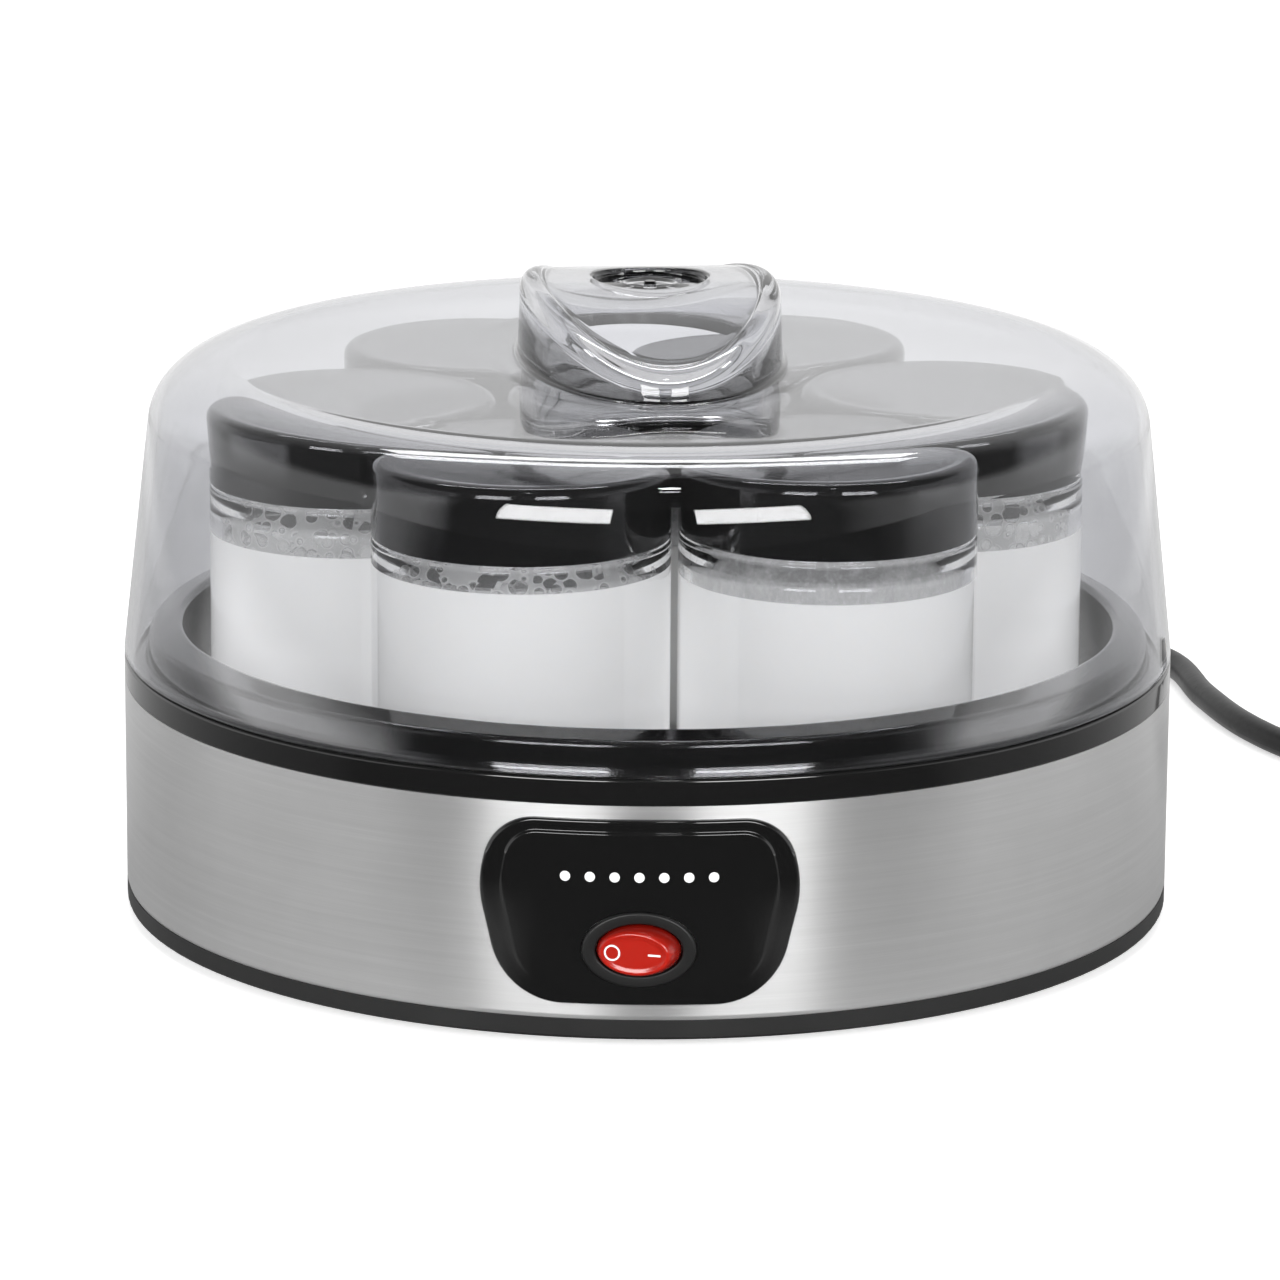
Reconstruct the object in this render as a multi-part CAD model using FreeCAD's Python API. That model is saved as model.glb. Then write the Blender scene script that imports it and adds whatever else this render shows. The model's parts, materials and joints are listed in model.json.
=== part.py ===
"""Seven-jar yogurt maker: heated base, tray, clear lid, glass jars with caps, rocker switch, cord.

Millimetres.  +Z is up.  The origin is the centre of the resting plane, under the rubber feet.
The control panel faces -Y.  An azimuth counts from -Y towards +X.
Every separate piece is written to its own STEP file in parts/.
"""
import FreeCAD, Part
import math
import os
from FreeCAD import Vector

# ---------------------------------------------------------------- driving dimensions
BODY_R = 122.5            # outside of the base, the tray ring and the lid's rim
FOOT_H = 2.0              # how far the feet hold the base off the table
RING_TOP = 6.5            # top of the black base ring
BAND_TOP = 55.0           # top of the steel band
SEAT_Z = 61.0             # ledge that the lid stands on
JAR_FLOOR_Z = 41.5        # where the jars stand
LIP_TOP_Z = 70.0          # top of the raised lip around the basin
BASIN_R = 108.5           # inside of the basin at the lip
WALL = 2.5                # usual moulded wall
BAND_T = 0.8              # steel band
BAND_SEAT = 0.9           # depth of the step that the band's edges sit in

LID_FLAT_R = 97.4         # radius of the lid's flat top
LID_TOP_Z = 130.4
LID_SHOULDER_A = 19.1     # the lid's shoulder is a quarter ellipse: half width and half height
LID_SHOULDER_B = 15.5
KNOB_HALF_WIDTH = 30.0
KNOB_HALF_LENGTH = 58.0
KNOB_TOP_Z = 149.2
KNOB_ARC_R = 135.0        # the knob's top is an arc along its length
KNOB_WALL = 3.2
KNOB_CEILING = 4.2        # thickness of the knob's top
KNOB_RECESS_R = 13.3      # round recess in the knob's top
KNOB_RECESS_T = 2.0
KNOB_TURN = 5.65          # degrees, the knob's length from the front-back line

JAR_R = 33.2
CAP_R = 33.5
CAP_BOTTOM_Z = 101.9
CAP_TOP_Z = 119.4
JAR_RING_R = 68.8         # circle of the six outer jars
JAR_RING_TURN = 6.35      # degrees, the jar ring's turn about Z
JAR_SEAT_R = 33.6         # round seat of each jar in the basin floor
JAR_SEAT_T = 0.8
JAR_FILL_Z = [94.6, 91.0, 88.5, 88.5, 90.0, 89.3, 91.0]   # milk level in jars 1 to 7

PANEL_OUT_R = 124.5       # outer face of the control panel
PANEL_LOW_Z = 10.2
PANEL_WIDE_Z = 36.0
PANEL_HIGH_Z = 52.1
SWITCH_Z = 23.3           # centre height of the rocker switch
ROCKER_A = 9.3            # half length of the rocker
ROCKER_B = 5.7            # half height of the rocker
ROCKER_FACE = 5.1         # pivot to the rocker's flat face
ROCKER_TILT = 12.0        # degrees each side of the middle

CORD_R = 3.5
CORD_EXIT_Z = 24.0
SCREW_POST_R = 115.6      # circle of the four housing screws
LIFT_GAP = 0.05           # small running gap between separate pieces

UP = Vector(0, 0, 1)
BACKWARD = Vector(0, 1, 0)
ORIGIN = Vector(0, 0, 0)


# ---------------------------------------------------------------- helpers
def upright(u, v):
    """A point of a section or a front outline: across and up."""
    return Vector(u, 0, v)


def flat(u, v):
    """A point of a plan outline at height zero."""
    return Vector(u, v, 0)


def corner_arc(before, corner, after, radius):
    """Start, middle and end of the arc that rounds one corner."""
    to_before = (before - corner).normalize()
    to_after = (after - corner).normalize()
    half = to_before.getAngle(to_after) / 2
    reach = radius / math.tan(half)
    centre = corner + (to_before + to_after).normalize() * (radius / math.sin(half))
    middle = centre + (corner - centre).normalize() * radius
    return corner + to_before * reach, middle, corner + to_after * reach


def rounded_wire(corners, place=upright):
    """Closed wire through corners (u, v) or (u, v, radius), with the radius as an arc."""
    points = [place(c[0], c[1]) for c in corners]
    starts = []
    edges = []
    for i, corner in enumerate(corners):
        radius = corner[2] if len(corner) > 2 else 0
        if radius:
            after = points[(i + 1) % len(points)]
            begin, middle, end = corner_arc(points[i - 1], points[i], after, radius)
            edges.append(Part.Arc(begin, middle, end).toShape())
            starts.append((begin, end))
        else:
            starts.append((points[i], points[i]))
    for i, (_, leave) in enumerate(starts):
        arrive = starts[(i + 1) % len(starts)][0]
        if leave.distanceToPoint(arrive) > 1e-6:
            edges.append(Part.makeLine(leave, arrive))
    return Part.Wire(Part.__sortEdges__(edges))


def turned(corners):
    """Solid of revolution about Z from a section of radius and height corners."""
    return Part.Face(rounded_wire(corners)).revolve(ORIGIN, UP, 360)


def rod(radius, height, x=0, y=0, z=0, axis=UP):
    return Part.makeCylinder(radius, height, Vector(x, y, z), axis)


def box(size_x, size_y, size_z, x=0, y=0, z=0):
    """A box centred on x and y, standing on z."""
    return Part.makeBox(size_x, size_y, size_z, Vector(x - size_x / 2, y - size_y / 2, z))


def polar(radius, azimuth, z=0):
    """A point at an azimuth in degrees from -Y towards +X."""
    a = math.radians(azimuth)
    return Vector(radius * math.sin(a), -radius * math.cos(a), z)


def spun(shape, azimuth):
    """A copy of a shape turned about Z."""
    copy = shape.copy()
    copy.rotate(ORIGIN, UP, azimuth)
    return copy


def oval_prism(half_x, half_z, y_front, y_back):
    """Elliptical prism along Y, centred on the switch."""
    centre = Vector(0, y_front, SWITCH_Z)
    tall = centre + Vector(0, 0, half_z)
    ellipse = Part.Ellipse(centre + Vector(half_x, 0, 0), tall, centre)
    face = Part.Face(Part.Wire(ellipse.toShape()))
    return face.extrude(Vector(0, y_back - y_front, 0))


def tube_along(edges, radius):
    """Round tube along a chain of edges, with a disc end at each side."""
    path = Part.Wire(edges)
    first = edges[0]
    start = first.valueAt(first.FirstParameter)
    direction = first.tangentAt(first.FirstParameter)
    ring = Part.Wire(Part.makeCircle(radius, start, direction))
    return path.makePipeShell([ring], True, False)


def smooth(points):
    """One smooth edge through points."""
    curve = Part.BSplineCurve()
    curve.interpolate(points)
    return curve.toShape()


def bend(start, control_a, control_b, end):
    """One Bezier edge."""
    curve = Part.BezierCurve()
    curve.setPoles([start, control_a, control_b, end])
    return curve.toShape()


def group(shapes):
    return Part.makeCompound(shapes)


# ---------------------------------------------------------------- housing
SCREW_AZIMUTHS = (45, 135, 225, 315)
POST_R = 3.5
POST_TOP = 19.9
POST_ROOT = 3.0           # posts start inside the floor, so they join it
SCREW_CLEARANCE_R = 1.7
SCREW_HEAD_BORE_R = 2.9
SCREW_HEAD_BORE_T = 9.5
FOOT_RING_R = 98.0
FOOT_RING_W = 7.0
FOOT_GROOVE = 1.3
CLAMP_Y = 99.0
CLAMP_POST_X = 9.0
CLAMP_POST_TOP = 27.5
CLAMP_PILOT_R = 1.25
CLAMP_PILOT_T = 12.0
FLOOR_TOP = 4.6
COVER_UPSTAND_Z = 14.0
TRAY_FLOOR_T = 3.0        # basin floor, seats not counted
TRAY_UNDER = JAR_FLOOR_Z + JAR_SEAT_T - TRAY_FLOOR_T
LIP_OUT_R = 116.4
LIP_OUT_Z = 68.2
LEDGE_R = 117.2           # inner edge of the lid's ledge
LIP_ROUNDING = 1.6
TRAY_SKIRT_Z = 46.0       # lower edge of the tray's skirt inside the band
SKIRT_R = BODY_R - 3.6


def base_cover():
    """Bottom cover: floor, visible black ring, upstand inside the band, posts."""
    step_r = BODY_R - BAND_SEAT
    inner_r = BODY_R - 3.9
    body = turned([
        (0, FOOT_H), (BODY_R, FOOT_H, 0.8), (BODY_R, RING_TOP), (step_r, RING_TOP),
        (step_r, COVER_UPSTAND_Z), (inner_r, COVER_UPSTAND_Z), (inner_r, FLOOR_TOP, 1.5),
        (0, FLOOR_TOP)])
    extras = []
    for azimuth in SCREW_AZIMUTHS:
        p = polar(SCREW_POST_R, azimuth)
        extras.append(rod(POST_R, POST_TOP - POST_ROOT, p.x, p.y, POST_ROOT))
    for x in (-CLAMP_POST_X, CLAMP_POST_X):
        extras.append(rod(POST_R, CLAMP_POST_TOP - POST_ROOT, x, CLAMP_Y, POST_ROOT))
    saddle_top = CORD_EXIT_Z - CORD_R - LIFT_GAP
    extras.append(box(2 * CLAMP_POST_X, 2, saddle_top - POST_ROOT, 0, CLAMP_Y, POST_ROOT))
    return body.fuse(extras).cut(cover_cuts())


def cover_cuts():
    """Screw bores, pilot holes, groove of the foot ring and vents of the bottom cover."""
    cuts = []
    for azimuth in SCREW_AZIMUTHS:
        p = polar(SCREW_POST_R, azimuth)
        cuts.append(rod(SCREW_CLEARANCE_R, 40, p.x, p.y))
        cuts.append(rod(SCREW_HEAD_BORE_R, SCREW_HEAD_BORE_T, p.x, p.y))
    for x in (-CLAMP_POST_X, CLAMP_POST_X):
        cuts.append(rod(CLAMP_PILOT_R, 14, x, CLAMP_Y, CLAMP_POST_TOP - CLAMP_PILOT_T))
    groove = rod(FOOT_RING_R + FOOT_RING_W / 2, FOOT_H + FOOT_GROOVE)
    cuts.append(groove.cut(rod(FOOT_RING_R - FOOT_RING_W / 2, 10)))
    return cuts + vent_slots()


def vent_slots():
    """Rows of cooling slots in the bottom cover."""
    slots = []
    for x in (-24, -16, -8, 0, 8, 16, 24):
        outline = rounded_wire([(x - 1.2, -14, 1.1), (x + 1.2, -14, 1.1),
                                (x + 1.2, 14, 1.1), (x - 1.2, 14, 1.1)], flat)
        slots.append(Part.Face(outline).extrude(Vector(0, 0, 10)))
    return slots


def base_screws():
    """Four long screws that pull the tray down onto the band and the cover."""
    screws = []
    for azimuth in SCREW_AZIMUTHS:
        p = polar(SCREW_POST_R, azimuth)
        head = rod(2.7, 2.2, p.x, p.y, SCREW_HEAD_BORE_T - 2.2)
        head = head.cut(box(1, 4.4, 1, p.x, p.y, 7)).cut(box(4.4, 1, 1, p.x, p.y, 7))
        screws.append(head.fuse(rod(1.4, 26, p.x, p.y, SCREW_HEAD_BORE_T)))
    return group(screws)


def rubber_foot_ring():
    """Rubber ring pressed into the groove under the cover: the object stands on it."""
    low_r = FOOT_RING_R - FOOT_RING_W / 2 + LIFT_GAP
    high_r = FOOT_RING_R + FOOT_RING_W / 2 - LIFT_GAP
    top = FOOT_H + FOOT_GROOVE - LIFT_GAP
    return turned([(low_r, 0, 0.6), (high_r, 0, 0.6), (high_r, top), (low_r, top)])


def steel_band():
    """Brushed steel band around the base, curled in slightly at its foot."""
    band = turned([
        (BODY_R - BAND_T, RING_TOP), (BODY_R - 0.25, RING_TOP), (BODY_R, RING_TOP + 1.5),
        (BODY_R, BAND_TOP), (BODY_R - BAND_T, BAND_TOP)])
    cuts = [oval_prism(11.9, 7.9, -130, -110), rod(6.2, 30, 0, 110, CORD_EXIT_Z, BACKWARD)]
    for x in PANEL_POST_X:
        cuts.append(rod(2.8, 30, x, -130, PANEL_POST_Z, BACKWARD))
    return band.cut(cuts)


def jar_places():
    """Centre of each jar: 1 and 2 in front, then around to the right, the last in the middle."""
    azimuths = [-30, 30, 90, 150, 210, 270]
    places = [polar(JAR_RING_R, a + JAR_RING_TURN) for a in azimuths]
    places.append(Vector(0, 0, 0))
    return places


def jar_tray():
    """Tray moulding: outer ring, ledge for the lid, raised lip, basin and jar seats."""
    floor = JAR_FLOOR_Z + JAR_SEAT_T
    step_r = BODY_R - BAND_SEAT
    body = turned([
        (0, TRAY_UNDER), (BASIN_R + 1.4, TRAY_UNDER, 4), (BASIN_R + 2.3, LIP_TOP_Z - 3.4),
        (BASIN_R + 4.8, LIP_TOP_Z - 4.2), (BASIN_R + 5, SEAT_Z - WALL),
        (SKIRT_R, SEAT_Z - WALL), (SKIRT_R, TRAY_SKIRT_Z), (step_r, TRAY_SKIRT_Z),
        (step_r, BAND_TOP), (BODY_R, BAND_TOP), (BODY_R, SEAT_Z, 0.8),
        (LEDGE_R, SEAT_Z, 0.8), (LIP_OUT_R, LIP_OUT_Z, LIP_ROUNDING),
        (BASIN_R, LIP_TOP_Z, LIP_ROUNDING), (BASIN_R - 1, floor, 2.5), (0, floor)])
    bosses = []
    for azimuth in SCREW_AZIMUTHS:
        p = polar(SCREW_POST_R, azimuth)
        bosses.append(rod(POST_R, SEAT_Z - WALL - 20 + 0.5, p.x, p.y, 20))
    for p in heater_boss_places():
        bosses.append(rod(HEATER_BOSS_R, TRAY_UNDER - HEATER_BOSS_Z + 0.5, p.x, p.y, HEATER_BOSS_Z))
    body = body.fuse(bosses)
    cuts = [rod(JAR_SEAT_R, 5, p.x, p.y, JAR_FLOOR_Z) for p in jar_places()]
    for azimuth in SCREW_AZIMUTHS:
        p = polar(SCREW_POST_R, azimuth)
        cuts.append(rod(1.45, 17, p.x, p.y, 19))
    for p in heater_boss_places():
        cuts.append(rod(1.1, 7, p.x, p.y, HEATER_BOSS_Z - 1))
    return body.cut(cuts)


# ---------------------------------------------------------------- heater pack under the tray
HEATER_BOSS_Z = 31.5
HEATER_BOSS_R = 3.2
BOSS_HOLE_R = HEATER_BOSS_R + 0.2
HEATER_TOP = TRAY_UNDER
HEATER_PLATE_T = 1.2
ELEMENT_R = 1.5
PAD_TOP = HEATER_TOP - HEATER_PLATE_T - 2 * ELEMENT_R - 0.2
PLATE_TOP = HEATER_BOSS_Z
PLATE_T = 0.8
ELEMENT_OUT_R = 80.0
ELEMENT_IN_R = 58.0
ELEMENT_START = 100       # degrees from +X, at the rear


def heater_boss_places():
    """Three bosses that carry the heater pack."""
    return [polar(40, a) for a in (60, 180, 300)]


def boss_holes(radius):
    return [rod(radius, 20, p.x, p.y, 25) for p in heater_boss_places()]


def heater_plate():
    """Aluminium plate that spreads the heat under the basin floor."""
    return rod(95, HEATER_PLATE_T, z=HEATER_TOP - HEATER_PLATE_T).cut(boss_holes(BOSS_HOLE_R))


def around(radius, degrees, z):
    a = math.radians(degrees)
    return Vector(radius * math.cos(a), radius * math.sin(a), z)


def heating_cord():
    """Silicone heating cord: an outer and an inner ring joined by a U-turn."""
    z = HEATER_TOP - HEATER_PLATE_T - ELEMENT_R
    far = ELEMENT_START - 170
    end = ELEMENT_START - 340
    middle_r = (ELEMENT_OUT_R + ELEMENT_IN_R) / 2
    turn_r = (ELEMENT_OUT_R - ELEMENT_IN_R) / 2
    tangent = around(1, end - 90, 0)
    turn_middle = around(middle_r, end, z) + tangent * turn_r
    outer = Part.Arc(around(ELEMENT_OUT_R, ELEMENT_START, z), around(ELEMENT_OUT_R, far, z),
                     around(ELEMENT_OUT_R, end, z))
    turn = Part.Arc(around(ELEMENT_OUT_R, end, z), turn_middle, around(ELEMENT_IN_R, end, z))
    inner = Part.Arc(around(ELEMENT_IN_R, end, z), around(ELEMENT_IN_R, far, z),
                     around(ELEMENT_IN_R, ELEMENT_START, z))
    return tube_along([outer.toShape(), turn.toShape(), inner.toShape()], ELEMENT_R)


def insulation_pad():
    """Felt pad under the heating cord, with a hole for the thermostat and a slot for leads."""
    pad = rod(90, PAD_TOP - PLATE_TOP, z=PLATE_TOP)
    slot = box(28, 50, 10, 0, 0, 28)
    slot.translate(Vector(0, 70, 0))
    slot.rotate(ORIGIN, UP, ELEMENT_START - 90)
    return pad.cut([rod(11, 10, z=28), slot] + boss_holes(BOSS_HOLE_R))


def retainer_plate():
    """Steel plate that clamps the heater pack to the tray."""
    plate = rod(50, PLATE_T, z=PLATE_TOP - PLATE_T)
    holes = [rod(1.5, 10, p.x, p.y, 27) for p in heater_boss_places()]
    return plate.cut([rod(10, 10, z=27)] + holes)


def heater_screws():
    """Three screws through the retainer plate."""
    screws = []
    for p in heater_boss_places():
        head = rod(2.6, 1.8, p.x, p.y, PLATE_TOP - PLATE_T - 1.8)
        screws.append(head.fuse(rod(1.05, 6, p.x, p.y, PLATE_TOP - PLATE_T)))
    return group(screws)


def thermostat():
    """Round snap thermostat against the heater plate, with two blades below."""
    top = HEATER_TOP - HEATER_PLATE_T
    body = rod(8, 9, z=top - 9)
    blades = [box(BLADE_T, BLADE_W, 7.5, x, 0, top - 16) for x in (-4.5, 4.5)]
    return body.fuse(blades)


def thermostat_strap():
    """Spring strap that holds the thermostat up."""
    low = HEATER_TOP - HEATER_PLATE_T - 9 - 0.8
    bar = box(5, 34, 0.8, 0, 0, low)
    leg_h = PLATE_TOP - PLATE_T - low
    legs = [box(5, 0.8, leg_h, 0, y, low) for y in (-16.6, 16.6)]
    feet = [box(5, 6, 0.6, 0, y, PLATE_TOP - PLATE_T - 0.6) for y in (-19.6, 19.6)]
    return bar.fuse(legs + feet)


FUSE_X = 26.0
FUSE_Z = PLATE_TOP - PLATE_T - 2.0


def thermal_fuse():
    """Axial thermal fuse under the retainer plate."""
    can = rod(2, 12, FUSE_X, -6, FUSE_Z, BACKWARD)
    leads = [rod(0.5, 8, FUSE_X, y, FUSE_Z, BACKWARD) for y in (-14, 6)]
    return can.fuse(leads)


def fuse_clip():
    """Saddle clip around the thermal fuse."""
    arch = rod(2.7, 5, FUSE_X, -2.5, FUSE_Z, BACKWARD)
    arch = arch.fuse(box(11, 5, 0.6, FUSE_X, 0, FUSE_Z + 1.4))
    arch = arch.cut(rod(2.02, 9, FUSE_X, -4, FUSE_Z, BACKWARD))
    return arch.cut(box(20, 9, 5, FUSE_X, 0, FUSE_Z + 2.0))


# ---------------------------------------------------------------- control panel and switch
PANEL_POST_X = (-25.0, 25.0)
PANEL_POST_Z = 33.0
LAND_Y = -124.0           # flat land on the panel that the switch bezel sits on
BEZEL_T = 1.4
BEZEL_FRONT = LAND_Y - BEZEL_T
PIVOT_Y = BEZEL_FRONT + 2.0
WELL_A = 9.5
WELL_B = 5.9
SWITCH_BACK = -106.0
BLADE_T = 0.8             # push-on blades of switch and thermostat
BLADE_W = 4.8
ROCKER_WALL = 1.4
ROCKER_DEPTH = 3.0        # how far the rocker reaches behind its pivot
ROCKER_PIN_R = 0.98


def control_panel():
    """Gloss black panel on the front of the band, with a flat land for the switch."""
    outline = rounded_wire([
        (-29.5, PANEL_LOW_Z, 16), (29.5, PANEL_LOW_Z, 16), (35.6, PANEL_WIDE_Z, 24),
        (32, PANEL_HIGH_Z, 12), (-32, PANEL_HIGH_Z, 12), (-35.6, PANEL_WIDE_Z, 24)])
    blank = Part.Face(outline).extrude(Vector(0, -140, 0))
    shell = rod(PANEL_OUT_R, 60).cut(rod(BODY_R, 60))
    panel = shell.common(blank)
    edges = [e for e in panel.Edges if outer_edge(e)]
    panel = panel.makeFillet(1.3, edges)
    posts = []
    for x in PANEL_POST_X:
        posts.append(rod(2.5, 13, x, -122, PANEL_POST_Z, BACKWARD))
    panel = panel.fuse(posts)
    cuts = [oval_prism(12.6, 8.6, -140, LAND_Y), oval_prism(11.5, 7.5, -140, -100)]
    for x in PANEL_POST_X:
        cuts.append(rod(1.0, 9, x, -117, PANEL_POST_Z, BACKWARD))
    return panel.cut(cuts)


def outer_edge(edge):
    """True for an edge that lies all on the panel's outer face."""
    steps = [edge.FirstParameter + (edge.LastParameter - edge.FirstParameter) * k / 4
             for k in range(5)]
    points = [edge.valueAt(s) for s in steps]
    return all(abs(math.hypot(p.x, p.y) - PANEL_OUT_R) < 0.01 for p in points)


def panel_screws():
    """Two screws with wide heads that hold the panel from inside the band."""
    screws = []
    for x in PANEL_POST_X:
        head = rod(4, 1.6, x, -109, PANEL_POST_Z, BACKWARD)
        screws.append(head.fuse(rod(0.95, 7, x, -116, PANEL_POST_Z, BACKWARD)))
    return group(screws)


def switch_housing():
    """Oval bezel and body of the rocker switch, snapped through panel and band."""
    flange = oval_prism(12.5, 8.5, BEZEL_FRONT, LAND_Y)
    front_edges = [e for e in flange.Edges if abs(e.CenterOfMass.y - BEZEL_FRONT) < 0.01]
    flange = flange.makeFillet(0.8, front_edges)
    body = flange.fuse(oval_prism(11.3, 7.3, BEZEL_FRONT + 0.9, SWITCH_BACK))
    body = body.cut(oval_prism(WELL_A, WELL_B, -140, SWITCH_BACK - 1.5))
    pivot_holes = rod(1.05, 14, 0, PIVOT_Y, SWITCH_Z - 7)
    return body.cut([pivot_holes] + blade_shapes())


def blade_shapes():
    """Three flat blades through the back wall of the switch."""
    return [box(BLADE_T, 12, BLADE_W, x, SWITCH_BACK + 2.5, SWITCH_Z - BLADE_W / 2)
            for x in (-6.5, 0, 6.5)]


def switch_terminals():
    return group(blade_shapes())


def spheroid(grow):
    """Oblate spheroid about the vertical pivot axis."""
    ball = Part.makeSphere(1.0)
    scale = FreeCAD.Matrix()
    scale.scale(ROCKER_A + grow, ROCKER_A + grow, ROCKER_B + grow)
    shape = ball.transformGeometry(scale)
    shape.translate(Vector(0, PIVOT_Y, SWITCH_Z))
    return shape


def slab(y_front, y_back):
    """Block across the switch between two depths from the rocker's pivot."""
    block = box(40, y_back - y_front, 40, 0, 0, SWITCH_Z - 20)
    block.translate(Vector(0, PIVOT_Y + (y_front + y_back) / 2, 0))
    return block


def rocker():
    """Red rocker: end walls round about the pivot, flat face, hollow behind, two pivot pins."""
    body = spheroid(0).common(slab(-ROCKER_FACE, ROCKER_DEPTH))
    hollow = spheroid(-ROCKER_WALL).common(slab(ROCKER_WALL - ROCKER_FACE, 2 * ROCKER_DEPTH))
    pins = [rod(ROCKER_PIN_R, 2.7, 0, PIVOT_Y, SWITCH_Z + z) for z in (4.1, -6.8)]
    body = body.cut(hollow).fuse(pins)
    body.rotate(Vector(0, PIVOT_Y, SWITCH_Z), UP, -ROCKER_TILT)
    return body


def neon_lamp():
    """Small neon lamp in the switch well, behind the rocker."""
    y = PIVOT_Y + 7.5
    glass = rod(1.8, 9, -4.5, y, SWITCH_Z, Vector(1, 0, 0))
    legs = [rod(0.3, SWITCH_BACK - 1.5 - y, x, y, SWITCH_Z, BACKWARD) for x in (-3.2, 3.2)]
    return glass.fuse(legs)


# ---------------------------------------------------------------- cord and wiring
BLOCK_Y = 76.0
BLOCK_TOP = FLOOR_TOP + 13


def terminal_block():
    """Two-way screw terminal block on the bottom cover."""
    block = box(24, 16, 13, 0, BLOCK_Y, FLOOR_TOP)
    cuts = []
    for x in (-6, 6):
        cuts.append(rod(2.6, 8, x, BLOCK_Y, BLOCK_TOP - 5.5))
        cuts.append(rod(1.6, 30, x, BLOCK_Y - 15, FLOOR_TOP + 5, BACKWARD))
    return block.cut(cuts)


def terminal_screws():
    screws = []
    for x in (-6, 6):
        screw = rod(2.4, 3.5, x, BLOCK_Y, BLOCK_TOP - 5.5)
        screws.append(screw.cut(box(4, 0.8, 1, x, BLOCK_Y, BLOCK_TOP - 3)))
    return group(screws)


def cord_grommet():
    """Rubber bush that protects the cord where it leaves the band."""
    grommet = Part.makeCylinder(8, 3, Vector(0, 117.6, CORD_EXIT_Z), BACKWARD)
    neck = Part.makeCylinder(6.1, 8, Vector(0, 118, CORD_EXIT_Z), BACKWARD)
    tail = Part.makeCone(7.5, 5, 12, Vector(0, 123, CORD_EXIT_Z), BACKWARD)
    bore = Part.makeCylinder(CORD_R + LIFT_GAP, 40, Vector(0, 110, CORD_EXIT_Z), BACKWARD)
    return grommet.fuse([neck, tail]).cut(bore)


def cord_clamp():
    """Bar that clamps the cord on its saddle."""
    bar = box(2 * CLAMP_POST_X + 8, 7, 3, 0, CLAMP_Y, CLAMP_POST_TOP + LIFT_GAP)
    return bar.cut([rod(1.6, 10, x, CLAMP_Y, 25) for x in (-CLAMP_POST_X, CLAMP_POST_X)])


def clamp_screws():
    screws = []
    for x in (-CLAMP_POST_X, CLAMP_POST_X):
        top = CLAMP_POST_TOP + LIFT_GAP + 3
        screws.append(rod(2.8, 1.9, x, CLAMP_Y, top).fuse(rod(1.2, 12, x, CLAMP_Y, top - 12)))
    return group(screws)


PLUG_Z = 7.2
PLUG_LENGTH = 45.0
CORD_TURN_R = 26.0        # the cord's last turn on the table, beside the body
CORD_TURN_AZIMUTH = 39.0  # heading of the cord where that turn starts, from -Y towards +X


def on_table(x, y):
    """A point of the cord's centre line where the cord lies on the table."""
    return Vector(x, y, CORD_R)


def last_turn():
    """Start, middle and end of the cord's last turn, which ends heading for +Y."""
    start = on_table(168, 122)
    heading = polar(1, CORD_TURN_AZIMUTH)
    centre = start + Vector(-heading.y, heading.x, 0) * CORD_TURN_R
    end = centre + Vector(CORD_TURN_R, 0, 0)
    out = (start - centre + Vector(CORD_TURN_R, 0, 0)).normalize()
    return start, centre + out * CORD_TURN_R, end


def plug_start():
    """Where the cord enters the plug."""
    return last_turn()[2] + Vector(0, 36, PLUG_Z - CORD_R)


def flowing(stops, first_heading, last_heading):
    """Smooth chain of edges through stops, heading at each stop from its neighbours."""
    headings = [first_heading]
    for before, after in zip(stops, stops[2:]):
        headings.append((after - before).normalize())
    headings.append(last_heading)
    edges = []
    for i in range(len(stops) - 1):
        handle = (stops[i + 1] - stops[i]).Length / 3
        edges.append(bend(stops[i], stops[i] + headings[i] * handle,
                          stops[i + 1] - headings[i + 1] * handle, stops[i + 1]))
    return edges


def power_cord():
    """Cord: out of the back, down to the table, a loop behind, forward past the right side."""
    inside = Vector(0, 92, CORD_EXIT_Z)
    exit_point = Vector(0, 138, CORD_EXIT_Z)
    touch = on_table(-30, 188)
    drop = bend(exit_point, Vector(0, 164, CORD_EXIT_Z), on_table(-12, 170), touch)
    turn_start, turn_middle, turn_end = last_turn()
    stops = [touch, on_table(-48, 226), on_table(-14, 262), on_table(52, 272),
             on_table(112, 256), on_table(138, 216), on_table(145, 180), on_table(154, 148),
             turn_start]
    loop = flowing(stops, Vector(-1, 1, 0).normalize(), polar(1, CORD_TURN_AZIMUTH))
    turn = Part.Arc(turn_start, turn_middle, turn_end).toShape()
    end = plug_start()
    rise = bend(turn_end, turn_end + Vector(0, 12, 0), end - Vector(0, 12, 0), end)
    return tube_along([Part.makeLine(inside, exit_point), drop] + loop + [turn, rise], CORD_R)


def plug_body():
    """Flat two-pin plug lying on the table."""
    start = plug_start()
    y = start.y
    relief = Part.makeCone(4.6, 6.2, 12, start, BACKWARD)
    face_y = y + PLUG_LENGTH
    outline = rounded_wire([(-7, y + 11, 3), (7, y + 11, 3), (13, y + 26, 5), (13, face_y, 2),
                            (-13, face_y, 2), (-13, y + 26, 5)], flat)
    block = Part.Face(outline).extrude(Vector(0, 0, 2 * PLUG_Z))
    block.translate(Vector(start.x, 0, 0))
    long_edges = [e for e in block.Edges if abs(e.CenterOfMass.z - PLUG_Z) > PLUG_Z - 0.1]
    block = block.makeFillet(1.8, long_edges)
    return block.fuse(relief).cut(plug_pins())


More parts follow.
